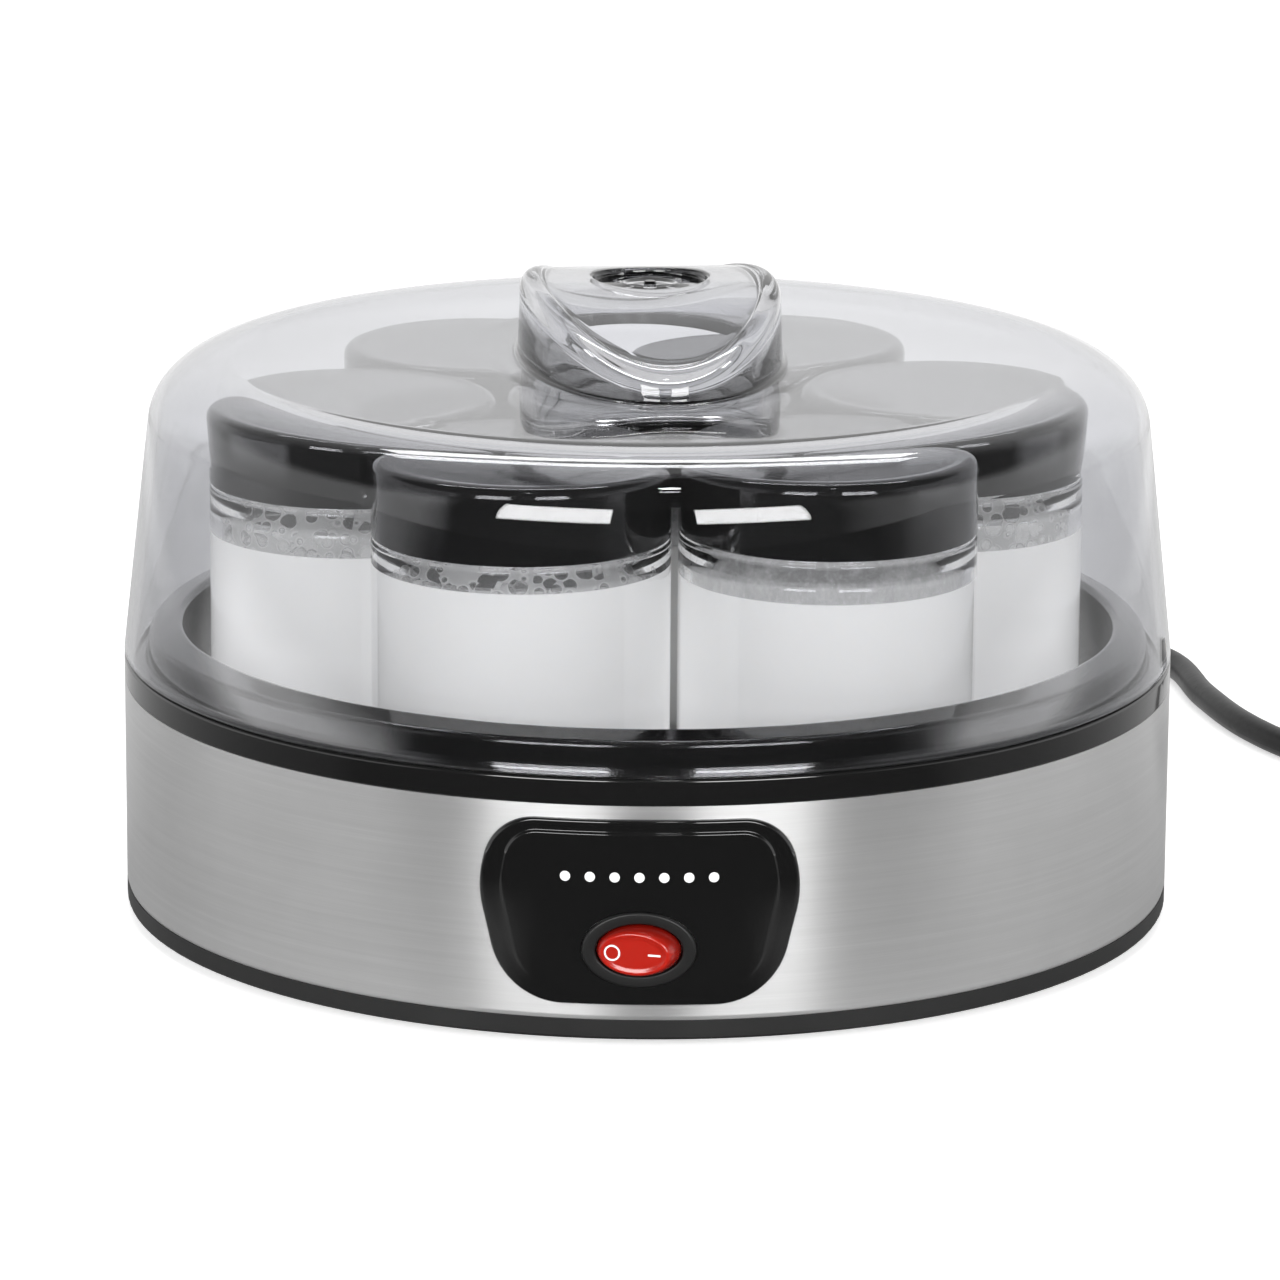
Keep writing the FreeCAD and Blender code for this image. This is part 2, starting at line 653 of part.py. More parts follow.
def plug_pins():
    """Two round pins."""
    start = plug_start()
    tip = start.y + PLUG_LENGTH + 19
    pins = []
    for x in (-9.3, 9.3):
        pin = rod(2, 29, start.x + x, tip - 29, PLUG_Z, BACKWARD)
        end = [e for e in pin.Edges if abs(e.CenterOfMass.y - tip) < 0.01]
        pins.append(pin.makeFillet(1.2, end[:1]))
    return group(pins)


WIRE_R = 1.1


def wire(points):
    return tube_along([smooth(points)], WIRE_R)


def live_core():
    """Live conductor from the cord's end to the terminal block."""
    return wire([Vector(1.8, 91.2, CORD_EXIT_Z), Vector(4, 89, 18), Vector(6, 87.5, 11),
                 Vector(6, 84.2, FLOOR_TOP + 5)])


def neutral_core():
    """Neutral conductor from the cord's end to the terminal block."""
    return wire([Vector(-1.8, 91.2, CORD_EXIT_Z), Vector(-4, 89, 18), Vector(-6, 87.5, 11),
                 Vector(-6, 84.2, FLOOR_TOP + 5)])


def live_wire():
    """Terminal block to the switch."""
    return wire([Vector(6, 67.8, FLOOR_TOP + 5), Vector(20, 45, 8), Vector(45, 5, 9),
                 Vector(35, -60, 11), Vector(12, -90, 18), Vector(6.5, -96.6, SWITCH_Z)])


def switched_wire():
    """Switch to the thermostat."""
    return wire([Vector(-6.5, -96.6, SWITCH_Z), Vector(-9, -88, 17), Vector(-14, -50, 12),
                 Vector(-8, -10, 14), Vector(-4.5, 0, HEATER_TOP - HEATER_PLATE_T - 17.2)])


def fuse_wire():
    """Thermostat to the thermal fuse."""
    return wire([Vector(4.5, 0, HEATER_TOP - HEATER_PLATE_T - 17.2), Vector(8, -8, 15),
                 Vector(20, -22, 22), Vector(FUSE_X, -14.2, FUSE_Z)])


def heater_lead():
    """Thermal fuse to the outer end of the heating cord."""
    z = HEATER_TOP - HEATER_PLATE_T - ELEMENT_R
    end = around(ELEMENT_OUT_R, ELEMENT_START, z)
    back = around(1, ELEMENT_START + 90, 0)
    return wire([Vector(FUSE_X, 14.2, FUSE_Z), Vector(24, 30, 24), Vector(0, 56, 24),
                 end + back * 5 + Vector(0, 0, -3), end + back * 0.7])


def neutral_wire():
    """Terminal block to the inner end of the heating cord."""
    z = HEATER_TOP - HEATER_PLATE_T - ELEMENT_R
    end = around(ELEMENT_IN_R, ELEMENT_START, z)
    back = around(1, ELEMENT_START + 90, 0)
    return wire([Vector(-6, 67.8, FLOOR_TOP + 5), Vector(-16, 56, 14), Vector(-24, 52, 26),
                 end + back * 5 + Vector(0, 0, -2), end + back * 0.7])


# ---------------------------------------------------------------- lid
def tangent_angle(foot, half_r, half_z):
    """Where a line from the rim at the foot touches the shoulder's ellipse."""
    u = (foot.x - LID_FLAT_R) / half_r
    v = (foot.z - (LID_TOP_Z - LID_SHOULDER_B)) / half_z
    return math.atan2(v, u) + math.acos(1 / math.hypot(u, v))


def shoulder(foot, half_r, half_z):
    """Tapered side from the foot and the shoulder above it, as two edges."""
    centre = upright(LID_FLAT_R, LID_TOP_Z - LID_SHOULDER_B)
    ellipse = Part.Ellipse(centre + Vector(half_r, 0, 0), centre + Vector(0, 0, half_z), centre)
    start = tangent_angle(foot, half_r, half_z)
    arc = Part.ArcOfEllipse(ellipse, start, math.pi / 2).toShape()
    return [Part.makeLine(foot, ellipse.value(start)), arc]


def lid_shell():
    """Clear cover: tapered side, rounded shoulder and flat top."""
    outer_foot = upright(BODY_R, SEAT_Z + 1)
    inner_foot = upright(BODY_R - WALL, SEAT_Z)
    rim_low = upright(BODY_R - 0.6, SEAT_Z)
    top_out = upright(LID_FLAT_R, LID_TOP_Z)
    top_in = upright(LID_FLAT_R, LID_TOP_Z - WALL)
    centre_out = upright(0, LID_TOP_Z)
    centre_in = upright(0, LID_TOP_Z - WALL)
    edges = shoulder(outer_foot, LID_SHOULDER_A, LID_SHOULDER_B)
    edges += shoulder(inner_foot, LID_SHOULDER_A - WALL, LID_SHOULDER_B - WALL)
    for a, b in ((outer_foot, rim_low), (rim_low, inner_foot), (top_in, centre_in),
                 (centre_in, centre_out), (centre_out, top_out)):
        edges.append(Part.makeLine(a, b))
    return Part.Face(Part.Wire(Part.__sortEdges__(edges))).revolve(ORIGIN, UP, 360)


def knob_form(inset, drop, low_z):
    """Elliptical column under a long arc, inset and dropped from the outside form."""
    long_half = KNOB_HALF_LENGTH - inset
    short_half = KNOB_HALF_WIDTH - inset
    centre = Vector(0, 0, low_z)
    ellipse = Part.Ellipse(Vector(0, long_half, low_z), Vector(short_half, 0, low_z), centre)
    column = Part.Face(Part.Wire(ellipse.toShape())).extrude(Vector(0, 0, 60))
    return column.common(long_arc_block(KNOB_ARC_R - drop, low_z - 1))


def long_arc_block(radius, low_z):
    """Block whose top is an arc along Y, wide enough to cut the knob's column."""
    reach = 80
    centre_z = KNOB_TOP_Z - KNOB_ARC_R
    end_z = centre_z + math.sqrt(radius ** 2 - reach ** 2)
    x = -50
    left = Vector(x, -reach, end_z)
    right = Vector(x, reach, end_z)
    edges = [Part.Arc(left, Vector(x, 0, centre_z + radius), right).toShape()]
    corners = [right, Vector(x, reach, low_z), Vector(x, -reach, low_z), left]
    edges += [Part.makeLine(a, b) for a, b in zip(corners, corners[1:])]
    return Part.Face(Part.Wire(edges)).extrude(Vector(-2 * x, 0, 0))


def top_edges(shape, above):
    return [e for e in shape.Edges if e.BoundBox.ZMin > above]


def lid():
    """Clear lid with its hollow grip moulded in one piece."""
    grip = knob_form(0, 0, LID_TOP_Z - 1)
    grip = grip.makeFillet(3.6, top_edges(grip, LID_TOP_Z + 2))
    hollow = knob_form(KNOB_WALL, KNOB_CEILING, LID_TOP_Z - 10)
    hollow = hollow.makeFillet(2.2, top_edges(hollow, LID_TOP_Z - 5))
    recess = rod(KNOB_RECESS_R, 5, z=KNOB_TOP_Z - KNOB_RECESS_T)
    pip = rod(1.5, 0.7, z=KNOB_TOP_Z - KNOB_RECESS_T - 0.1)
    grip = grip.cut(recess).fuse(pip)
    grip = spun(grip, KNOB_TURN)
    hollow = spun(hollow, KNOB_TURN)
    return lid_shell().fuse(grip).cut(hollow)


# ---------------------------------------------------------------- jars
JAR_WALL = 3.0
NECK_R = 30.6
NECK_TOP = CAP_TOP_Z - 2.2
SHOULDER_TOP = CAP_BOTTOM_Z - 0.3
JAR_BASE_T = 5.0


def glass_jar():
    """Straight glass jar with a neck and one thread bead, at the middle place."""
    inner = JAR_R - JAR_WALL
    neck_in = NECK_R - JAR_WALL
    base = JAR_FLOOR_Z + JAR_BASE_T
    return turned([
        (0, JAR_FLOOR_Z + 0.8), (20, JAR_FLOOR_Z + 0.8, 2), (22, JAR_FLOOR_Z),
        (JAR_R, JAR_FLOOR_Z, 4.5), (JAR_R, SHOULDER_TOP - 0.4, 1.0), (NECK_R, SHOULDER_TOP, 0.4),
        (NECK_R, 107), (NECK_R + 0.6, 107.3), (NECK_R + 0.6, 108.2), (NECK_R, 108.5),
        (NECK_R, NECK_TOP, 1.2), (neck_in, NECK_TOP, 1.2), (neck_in, SHOULDER_TOP - 2, 2),
        (inner, SHOULDER_TOP - 6, 4), (inner, base, 5), (0, base)])


def yogurt(level):
    """Milk that fills one jar up to a level."""
    r = JAR_R - JAR_WALL - 0.02
    base = JAR_FLOOR_Z + JAR_BASE_T + 0.02
    return turned([(0, base), (r, base, 5), (r, level), (0, level)])


def jar_cap():
    """Smooth screw cap with one inner thread bead."""
    bore = NECK_R + 0.8
    return turned([
        (0, CAP_TOP_Z), (CAP_R, CAP_TOP_Z, 2.8), (CAP_R, CAP_BOTTOM_Z, 0.5),
        (bore, CAP_BOTTOM_Z, 0.4), (bore, 104.8), (bore - 0.5, 105.1), (bore - 0.5, 106),
        (bore, 106.3), (bore, CAP_TOP_Z - 2), (0, CAP_TOP_Z - 2)])


# ---------------------------------------------------------------- writing
SINGLE_PIECES = [
    base_cover, base_screws, rubber_foot_ring, steel_band, jar_tray, heater_plate, heating_cord,
    insulation_pad, retainer_plate, heater_screws, thermostat, thermostat_strap, thermal_fuse,
    fuse_clip, control_panel, panel_screws, switch_housing, switch_terminals, rocker, neon_lamp,
    terminal_block, terminal_screws, cord_grommet, cord_clamp, clamp_screws, power_cord,
    plug_body, plug_pins, live_core, neutral_core, live_wire, switched_wire, fuse_wire,
    heater_lead, neutral_wire, lid]


def write(shape, name):
    if not shape.isValid():
        print("invalid shape:", name)
    shape.exportStep("parts/" + name + ".step")
    print(name, shape.ShapeType, len(shape.Solids), round(shape.Volume, 1))


def main():
    os.makedirs("parts", exist_ok=True)
    for make in SINGLE_PIECES:
        write(make(), make.__name__)
    glass = glass_jar()
    cap = jar_cap()
    for number, place in enumerate(jar_places(), start=1):
        fill = yogurt(JAR_FILL_Z[number - 1])
        write(glass.translated(place), "jar_%d" % number)
        write(fill.translated(place), "yogurt_%d" % number)
        write(cap.translated(place), "jar_cap_%d" % number)


main()
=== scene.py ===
"""Looks of the seven-jar yogurt maker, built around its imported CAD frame.

The frame is in metres, +Z up, front -Y.  Sections and outlines here are written in millimetres
and scaled by MM where their points are made."""
import json
import math
import random

import bmesh
import bpy
from mathutils import Matrix, Vector

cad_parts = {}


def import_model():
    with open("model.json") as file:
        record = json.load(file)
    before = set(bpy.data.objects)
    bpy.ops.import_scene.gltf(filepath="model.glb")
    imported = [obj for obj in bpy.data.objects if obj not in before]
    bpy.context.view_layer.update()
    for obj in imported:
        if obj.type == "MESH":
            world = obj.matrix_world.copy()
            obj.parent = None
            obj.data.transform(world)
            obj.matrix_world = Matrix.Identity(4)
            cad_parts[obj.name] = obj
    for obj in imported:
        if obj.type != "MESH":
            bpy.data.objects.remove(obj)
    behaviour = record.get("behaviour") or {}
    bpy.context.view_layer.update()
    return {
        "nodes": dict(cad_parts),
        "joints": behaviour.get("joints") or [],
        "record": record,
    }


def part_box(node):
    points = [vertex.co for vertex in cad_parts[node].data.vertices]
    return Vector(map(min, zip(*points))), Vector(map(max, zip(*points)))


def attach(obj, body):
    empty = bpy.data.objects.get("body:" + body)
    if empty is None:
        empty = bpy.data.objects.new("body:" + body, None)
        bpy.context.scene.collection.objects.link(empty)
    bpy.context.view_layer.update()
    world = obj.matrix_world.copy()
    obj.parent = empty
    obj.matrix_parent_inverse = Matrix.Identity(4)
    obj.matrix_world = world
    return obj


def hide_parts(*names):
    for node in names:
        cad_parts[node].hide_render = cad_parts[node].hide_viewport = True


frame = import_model()

MM = 0.001
JAR_COUNT = 7
ROUND = 256               # segments of a big turned piece
SMALL_ROUND = 128         # segments of a jar or cap
SHARP = 38.0              # edges over this many degrees are shaded sharp
SHARP_FINE = 50.0         # the same for pieces with finely stepped rings


# ---------------------------------------------------------------- sizes read from the frame
def half_size(node):
    low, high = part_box(node)
    return (high - low) / 2


def heights(node):
    """Lowest and highest points of a CAD node, in millimetres."""
    low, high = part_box(node)
    return low.z / MM, high.z / MM


def jar_centres():
    """Centre of each jar in plan, in metres."""
    centres = []
    for k in range(1, JAR_COUNT + 1):
        low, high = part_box("jar_%d" % k)
        centres.append(((low.x + high.x) / 2, (low.y + high.y) / 2))
    return centres


BODY_R = half_size("steel_band").x / MM
BAND_FOOT, BAND_TOP = heights("steel_band")
LID_SEAT, GRIP_TOP = heights("lid")
LIP_TOP = heights("jar_tray")[1]
JAR_FLOOR = heights("jar_1")[0]
JAR_BASE, JAR_TOP = heights("jar_7")
CAP_FOOT, CAP_TOP = heights("jar_cap_7")
CAP_R = half_size("jar_cap_7").x / MM
GLASS_R = half_size("jar_7").x / MM + 0.3   # the glass swells a little over its nominal size
PANEL_LOW, PANEL_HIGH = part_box("control_panel")
PANEL_FACE = -PANEL_LOW.y / MM
PANEL_MIDDLE = (PANEL_LOW.z + PANEL_HIGH.z) / 2 / MM
BEZEL_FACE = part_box("switch_housing")[0].y / MM
BEZEL_A = half_size("switch_housing").x / MM
BEZEL_B = half_size("switch_housing").z / MM
ROCKER_JOINT = next(j for j in frame["joints"] if j["name"] == "rocker_press")
SWITCH = Vector(ROCKER_JOINT["pos_m"]) / MM
ROCKER_TILT = math.radians(ROCKER_JOINT["range_deg"][1] / 2)


# ---------------------------------------------------------------- mesh helpers
def shade(bm, sharp):
    """Smooth faces, and sharp edges over an angle in degrees."""
    for face in bm.faces:
        face.smooth = True
    for edge in bm.edges:
        edge.smooth = (len(edge.link_faces) != 2
                       or edge.calc_face_angle() <= math.radians(sharp))


def add_object(name, data):
    obj = bpy.data.objects.new(name, data)
    bpy.context.scene.collection.objects.link(obj)
    return obj


def finish_mesh(name, bm, body, material, sharp=SHARP, node=None):
    """Turns a bmesh into a painted piece on a body, in place of a CAD node if one is named."""
    bmesh.ops.recalc_face_normals(bm, faces=bm.faces[:])
    shade(bm, sharp)
    mesh = bpy.data.meshes.new(name)
    bm.to_mesh(mesh)
    bm.free()
    obj = add_object(name, mesh)
    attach(obj, body)
    if node:
        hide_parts(node)
    return paint(obj, material)


def paint(obj, material):
    obj.data.materials.clear()
    obj.data.materials.append(material)
    return obj


def bridge(bm, rings, closed=False):
    """Skins between rings of points.  A ring of one point is a pole."""
    made = [[bm.verts.new(p) for p in ring] for ring in rings]
    pairs = list(zip(made, made[1:]))
    if closed:
        pairs.append((made[-1], made[0]))
    for a, b in pairs:
        count = max(len(a), len(b))
        for i in range(count):
            j = (i + 1) % count
            if len(a) == 1:
                bm.faces.new((a[0], b[j], b[i]))
            elif len(b) == 1:
                bm.faces.new((a[i], a[j], b[0]))
            else:
                bm.faces.new((a[i], a[j], b[j], b[i]))


SUPPORT = 0.02            # support points lie this share of the radius beyond an arc's ends


def rounded(corners, steps=6):
    """Section points (radius, height) with each third value as a corner radius.

    A point just beyond each end of an arc keeps the shading of the straight run true."""
    out = []
    for i, corner in enumerate(corners):
        here = Vector(corner[:2])
        radius = corner[2] if len(corner) > 2 else 0
        if not radius:
            out.append(here)
            continue
        before, after, half, centre = fillet(corners, i, radius)
        start = here + before * (radius / math.tan(half)) - centre
        end = here + after * (radius / math.tan(half)) - centre
        turn = start.angle_signed(end)
        out.append(centre + start + before * (SUPPORT * radius))
        for k in range(steps + 1):
            out.append(centre + Matrix.Rotation(-turn * k / steps, 2) @ start)
        out.append(centre + end + after * (SUPPORT * radius))
    return out


def fillet(corners, i, radius):
    """Directions out of a corner, half the angle between them, and a circle's centre in it."""
    here = Vector(corners[i][:2])
    before = (Vector(corners[i - 1][:2]) - here).normalized()
    after = (Vector(corners[(i + 1) % len(corners)][:2]) - here).normalized()
    half = before.angle(after) / 2
    centre = here + (before + after).normalized() * (radius / math.sin(half))
    return before, after, half, centre


def quarter(first, last):
    """Cosine and sine along a quarter turn cut into `last` steps, from step `first` on."""
    for k in range(first, last + 1):
        a = math.pi / 2 * k / last
        yield math.cos(a), math.sin(a)


def circle_ring(radius, z, count, centre):
    if radius < 1e-7:
        return [Vector((centre[0], centre[1], z))]
    ring = []
    for i in range(count):
        a = 2 * math.pi * i / count
        ring.append(Vector((centre[0] + radius * math.cos(a),
                            centre[1] + radius * math.sin(a), z)))
    return ring


def lathe(corners, count=ROUND, centre=(0, 0)):
    """Turns a section, given in millimetres with corner radii, about an upright axis."""
    section = rounded([tuple(v * MM for v in c) for c in corners])
    rings = [circle_ring(p[0], p[1], count, centre) for p in section]
    on_axis = len(rings[0]) == 1 and len(rings[-1]) == 1
    bm = bmesh.new()
    bridge(bm, rings, closed=not on_axis)
    return bm


# ---------------------------------------------------------------- node helpers
class Graph:
    """A short way to write a node tree."""

    def __init__(self, tree):
        self.tree = tree
        tree.nodes.clear()

    def add(self, kind, inputs=None, **settings):
        node = self.tree.nodes.new(kind)
        for key, value in settings.items():
            setattr(node, key, value)
        for key, value in (inputs or {}).items():
            self.set(node, key, value)
        return node

    def set(self, node, key, value):
        if isinstance(value, bpy.types.NodeSocket):
            self.tree.links.new(value, node.inputs[key])
        else:
            node.inputs[key].default_value = value

    def place(self):
        return self.add("ShaderNodeTexCoord").outputs["Object"]

    def mapped(self, scale):
        return self.add("ShaderNodeMapping", {"Vector": self.place(), "Scale": scale}).outputs[0]

    def noise(self, scale, detail=4.0, vector=None, roughness=0.55):
        node = self.add("ShaderNodeTexNoise", {"Scale": scale, "Detail": detail,
                                               "Roughness": roughness,
                                               "Vector": vector or self.place()})
        return node.outputs["Fac"]

    def calc(self, operation, a, b):
        return self.add("ShaderNodeMath", {0: a, 1: b}, operation=operation).outputs[0]

    def remap(self, value, low, high, from_low=0.0, from_high=1.0, **settings):
        node = self.add("ShaderNodeMapRange", {"Value": value, "From Min": from_low,
                                               "From Max": from_high, "To Min": low,
                                               "To Max": high}, **settings)
        return node.outputs["Result"]

    def ramp(self, value, stops):
        """A grey level that follows a value from 0 to 1: stops are (value, level)."""
        node = self.add("ShaderNodeValToRGB", {"Fac": value})
        elements = node.color_ramp.elements
        for _ in range(len(stops) - 2):
            elements.new(0.5)
        for element, (place, level) in zip(elements, stops):
            element.position = place
            element.color = grey(level)
        return node.outputs["Color"]

    def sector(self, vector, stops):
        """A grey level by compass direction: stops are (degrees from the front, level)."""
        parts = self.add("ShaderNodeSeparateXYZ", {0: vector}).outputs
        turn = self.calc("ARCTAN2", parts["X"], self.calc("MULTIPLY", parts["Y"], -1))
        share = self.remap(turn, 0, 1, -math.pi, math.pi)
        return self.ramp(share, [((degrees + 180) / 360, level) for degrees, level in stops])

    def mix(self, factor, a, b):
        return self.add("ShaderNodeMix", {0: factor, 6: a, 7: b}, data_type="RGBA").outputs[2]

    def bump(self, height, strength, distance):
        node = self.add("ShaderNodeBump", {"Height": height, "Strength": strength,
                                           "Distance": distance})
        return node.outputs["Normal"]

    def facing(self, blend):
        return self.add("ShaderNodeLayerWeight", {"Blend": blend}).outputs["Facing"]

    def ray(self):
        """Outputs that tell the kinds of rays apart."""
        return self.add("ShaderNodeLightPath").outputs

    def principled(self, inputs):
        return self.add("ShaderNodeBsdfPrincipled", inputs).outputs["BSDF"]

    def transparent(self, colour=(1, 1, 1, 1)):
        return self.add("ShaderNodeBsdfTransparent", {"Color": colour}).outputs[0]

    def mix_shader(self, factor, a, b):
        return self.add("ShaderNodeMixShader", {0: factor, 1: a, 2: b}).outputs[0]

    def finish(self, kind, shader):
        self.add(kind, {"Surface": shader})


class Material(Graph):
    def __init__(self, name):
        self.material = bpy.data.materials.new(name)
        self.material.use_nodes = True
        super().__init__(self.material.node_tree)

    def surface(self, shader):
        self.finish("ShaderNodeOutputMaterial", shader)
        return self.material


def grey(value):
    return (value, value, value, 1)


def scaled(colour, share):
    return tuple(c * share for c in colour[:3]) + (1,)


# ---------------------------------------------------------------- materials
def brushed_steel(name):
    """Stainless sheet brushed around the body: fine streaks, reflections drawn out upwards."""
    m = Material(name)
    fine = m.noise(1.0, 6, m.mapped((60, 60, 5200)), 0.65)
    wide = m.noise(1.0, 3, m.mapped((14, 14, 900)))
    streak = m.remap(m.calc("MULTIPLY", fine, wide), 0, 0.6, 0.1, 0.45)
    cloud = m.remap(m.noise(28.0, 3), 0, 0.4, 0.3, 0.7)
    tangent = m.add("ShaderNodeTangent", direction_type="RADIAL", axis="Z").outputs[0]
    return m.surface(m.principled({
        "Base Color": m.mix(m.calc("ADD", streak, cloud), grey(0.53), grey(0.64)),
        "Metallic": 0.78, "Roughness": m.remap(fine, 0.30, 0.38),
        "Anisotropic": 0.9, "Anisotropic Rotation": 0.25, "Tangent": tangent,
        "Normal": m.bump(fine, 0.05, 0.00004)}))


def gloss_black(name, base, rough, dust):
    """Polished black moulding with a faint ripple and a little dust."""
    m = Material(name)
    grains = m.add("ShaderNodeTexVoronoi", {"Scale": 900.0, "Vector": m.place()})
    speck = m.remap(grains.outputs["Distance"], 0.05 * dust, 0.0, 0.0, 0.09)
    return m.surface(m.principled({
        "Base Color": m.mix(speck, grey(base), grey(0.25)),
        "Roughness": m.remap(m.noise(35.0, 3), rough * 0.8, rough * 1.5),
        "IOR": 1.52, "Coat Weight": 0.35, "Coat Roughness": 0.04,
        "Normal": m.bump(m.noise(140.0, 2), 0.03, 0.0004)}))


def satin_black(name, base, rough, grain):
    """Black moulding with a fine spark-eroded grain."""
    m = Material(name)
    return m.surface(m.principled({
        "Base Color": m.mix(m.noise(30.0, 2), grey(base), grey(base * 1.6)),
        "Roughness": m.remap(m.noise(60.0, 3), rough - 0.06, rough + 0.10),
        "Specular IOR Level": 0.32,
        "Normal": m.bump(m.noise(grain, 3), 0.25, 0.00006)}))


def rubber(name, colour, rough):
    m = Material(name)
    return m.surface(m.principled({
        "Base Color": m.mix(m.noise(50.0, 3), colour, scaled(colour, 1.7)),
        "Roughness": m.remap(m.noise(400.0, 3), rough - 0.08, rough + 0.08),
        "Normal": m.bump(m.noise(2200.0, 2), 0.3, 0.00005)}))


def clear(name, tint, ior, haze=0.0, shadow=0.88):
    """Clear moulding: true refraction for the eye, mostly let through for shadows."""
    m = Material(name)
    glass = m.principled({
        "Base Color": tint, "Roughness": haze, "IOR": ior, "Transmission Weight": 1.0,
        "Normal": m.bump(m.noise(22.0, 2), 0.04, 0.0006)})
    ray = m.ray()
    soft = m.calc("MAXIMUM", ray["Is Shadow Ray"], ray["Is Diffuse Ray"])
    return m.surface(m.mix_shader(soft, glass, m.transparent(grey(shadow))))


def milk(name, painted_glow):
    """Thick white milk, a little warm, with light spreading inside it; a painted glow keeps its
    shade bright.
    """
    m = Material(name)
    tone = m.mix(m.noise(18.0, 2), (0.69, 0.69, 0.68, 1), (0.67, 0.67, 0.66, 1))
    return m.surface(m.principled({
        "Base Color": tone, "Roughness": 0.32, "Subsurface Weight": 0.25,
        # painted glow: emission that stands in for light, though the milk is no lamp
        "Emission Color": grey(1.0), "Emission Strength": painted_glow,
        "Subsurface Radius": (0.004, 0.0035, 0.003), "Subsurface Scale": 1.0, "IOR": 1.35}))


# Cover of the foam from the middle of a bubble, over its wall, to the froth between bubbles.
FOAM_RAMP = [(0.0, 0.10), (0.31, 0.16), (0.40, 0.95), (0.48, 0.90), (0.60, 0.70)]


def milk_film(name, veil, foam):
    """Milk left on the glass above the level: a thin veil with runs, and foam cells with walls."""
    m = Material(name)
    runs = m.remap(m.noise(1.0, 3, m.mapped((150, 150, 60)), 0.6), veil, veil + 0.35, 0.42, 0.72)
    fine = m.remap(m.noise(900.0, 2), 0.0, 0.12, 0.5, 0.75)
    cell = m.add("ShaderNodeTexVoronoi", {"Scale": 300.0, "Vector": m.place()}).outputs
    pick = m.add("ShaderNodeSeparateColor", {"Color": cell["Color"]}).outputs["Red"]
    from_wall = m.calc("SUBTRACT", cell["Distance"], m.remap(pick, 0.30, 0.74))
    bubbles = m.ramp(m.remap(from_wall, 0, 1, -0.2, 0.3), FOAM_RAMP)
    cover = m.mix(foam, m.calc("ADD", runs, fine), bubbles)
    body = m.principled({"Base Color": grey(0.85), "Roughness": 0.4})
    return m.surface(m.mix_shader(cover, m.transparent(), body))


def bubble_film(name):
    """Bubble skin: clear in the middle and white towards the outline."""
    m = Material(name)
    body = m.principled({"Base Color": grey(0.92), "Roughness": 0.15})
    cover = m.remap(m.facing(0.35), 0.10, 0.95, 0.15, 0.85)
    return m.surface(m.mix_shader(cover, m.transparent(), body))


def red_plastic(name):
    """Translucent red moulding of the rocker."""
    m = Material(name)
    colour = m.mix(m.facing(0.4), (0.36, 0.010, 0.004, 1), (0.11, 0.002, 0.001, 1))
    return m.surface(m.principled({
        "Base Color": colour, "Roughness": m.remap(m.noise(120.0, 2), 0.13, 0.22),
        "Subsurface Weight": 0.2, "Subsurface Radius": (0.004, 0.0008, 0.0004),
        "Subsurface Scale": 1.0, "Coat Weight": 0.3, "Coat Roughness": 0.05}))


def paint_white(name):
    m = Material(name)
    return m.surface(m.principled({
        "Base Color": m.mix(m.noise(500.0, 2), grey(0.80), grey(0.88)), "Roughness": 0.4}))


def metal(name, colour, rough):
    m = Material(name)
    cloud = m.noise(90.0, 4)
    return m.surface(m.principled({
        "Base Color": m.mix(cloud, scaled(colour, 0.75), colour), "Metallic": 1.0,
        "Roughness": m.remap(cloud, rough * 0.7, rough * 1.4),
        "Normal": m.bump(m.noise(900.0, 2), 0.1, 0.00005)}))


def dull(name, colour, rough, grain=900.0, depth=0.00008):
    m = Material(name)
    return m.surface(m.principled({
        "Base Color": m.mix(m.noise(70.0, 4), scaled(colour, 0.8), colour), "Roughness": rough,
        "Normal": m.bump(m.noise(grain, 4), 0.4, depth)}))


MATERIALS = {
    "brushed_band": brushed_steel("brushed_band_metal"),
    "black_gloss": gloss_black("polished_black", base=0.006, rough=0.09, dust=1.0),
    "cap_black": gloss_black("cap_black", base=0.0065, rough=0.07, dust=0.4),
    "black_satin": satin_black("satin_black", base=0.012, rough=0.42, grain=1500.0),
    "bakelite": satin_black("moulded_black", base=0.008, rough=0.34, grain=2000.0),
    "black_rubber": rubber("black_rubber", grey(0.015), rough=0.6),
    "cord_black": satin_black("cord_sheath", base=0.010, rough=0.34, grain=700.0),
    "clear_lid": clear("clear_lid", (0.83, 0.834, 0.856, 1), ior=1.53, shadow=0.74),
    "jar_glass": clear("jar_glass", (0.985, 0.99, 0.99, 1), ior=1.50, shadow=0.95),
    "milk": milk("milk_white", painted_glow=0.42),
    "red_clear": red_plastic("rocker_red"),
    "lamp_glass": clear("lamp_glass", (1.0, 0.85, 0.75, 1), ior=1.5, haze=0.02),
    "aluminium": metal("rolled_aluminium", (0.82, 0.82, 0.83, 1), rough=0.3),
    "zinc_steel": metal("zinc_plate", (0.62, 0.62, 0.58, 1), rough=0.32),
    "brass": metal("plated_brass", (0.80, 0.76, 0.66, 1), rough=0.2),
    "white_nylon": dull("natural_nylon", (0.82, 0.81, 0.77, 1), rough=0.45),
    "felt": dull("mineral_felt", (0.72, 0.70, 0.64, 1), rough=0.95, grain=2500.0, depth=0.0004),
    "red_silicone": dull("silicone_sheath", (0.50, 0.08, 0.05, 1), rough=0.5),
    "wire_brown": dull("wire_brown", (0.20, 0.09, 0.04, 1), rough=0.4),
    "wire_blue": dull("wire_blue", (0.03, 0.11, 0.42, 1), rough=0.4),
    "wire_white": dull("wire_sleeve", (0.82, 0.82, 0.78, 1), rough=0.8, grain=3000.0,
                       depth=0.0002),
}
FOAM = milk_film("foam_film", veil=0.35, foam=0.85)
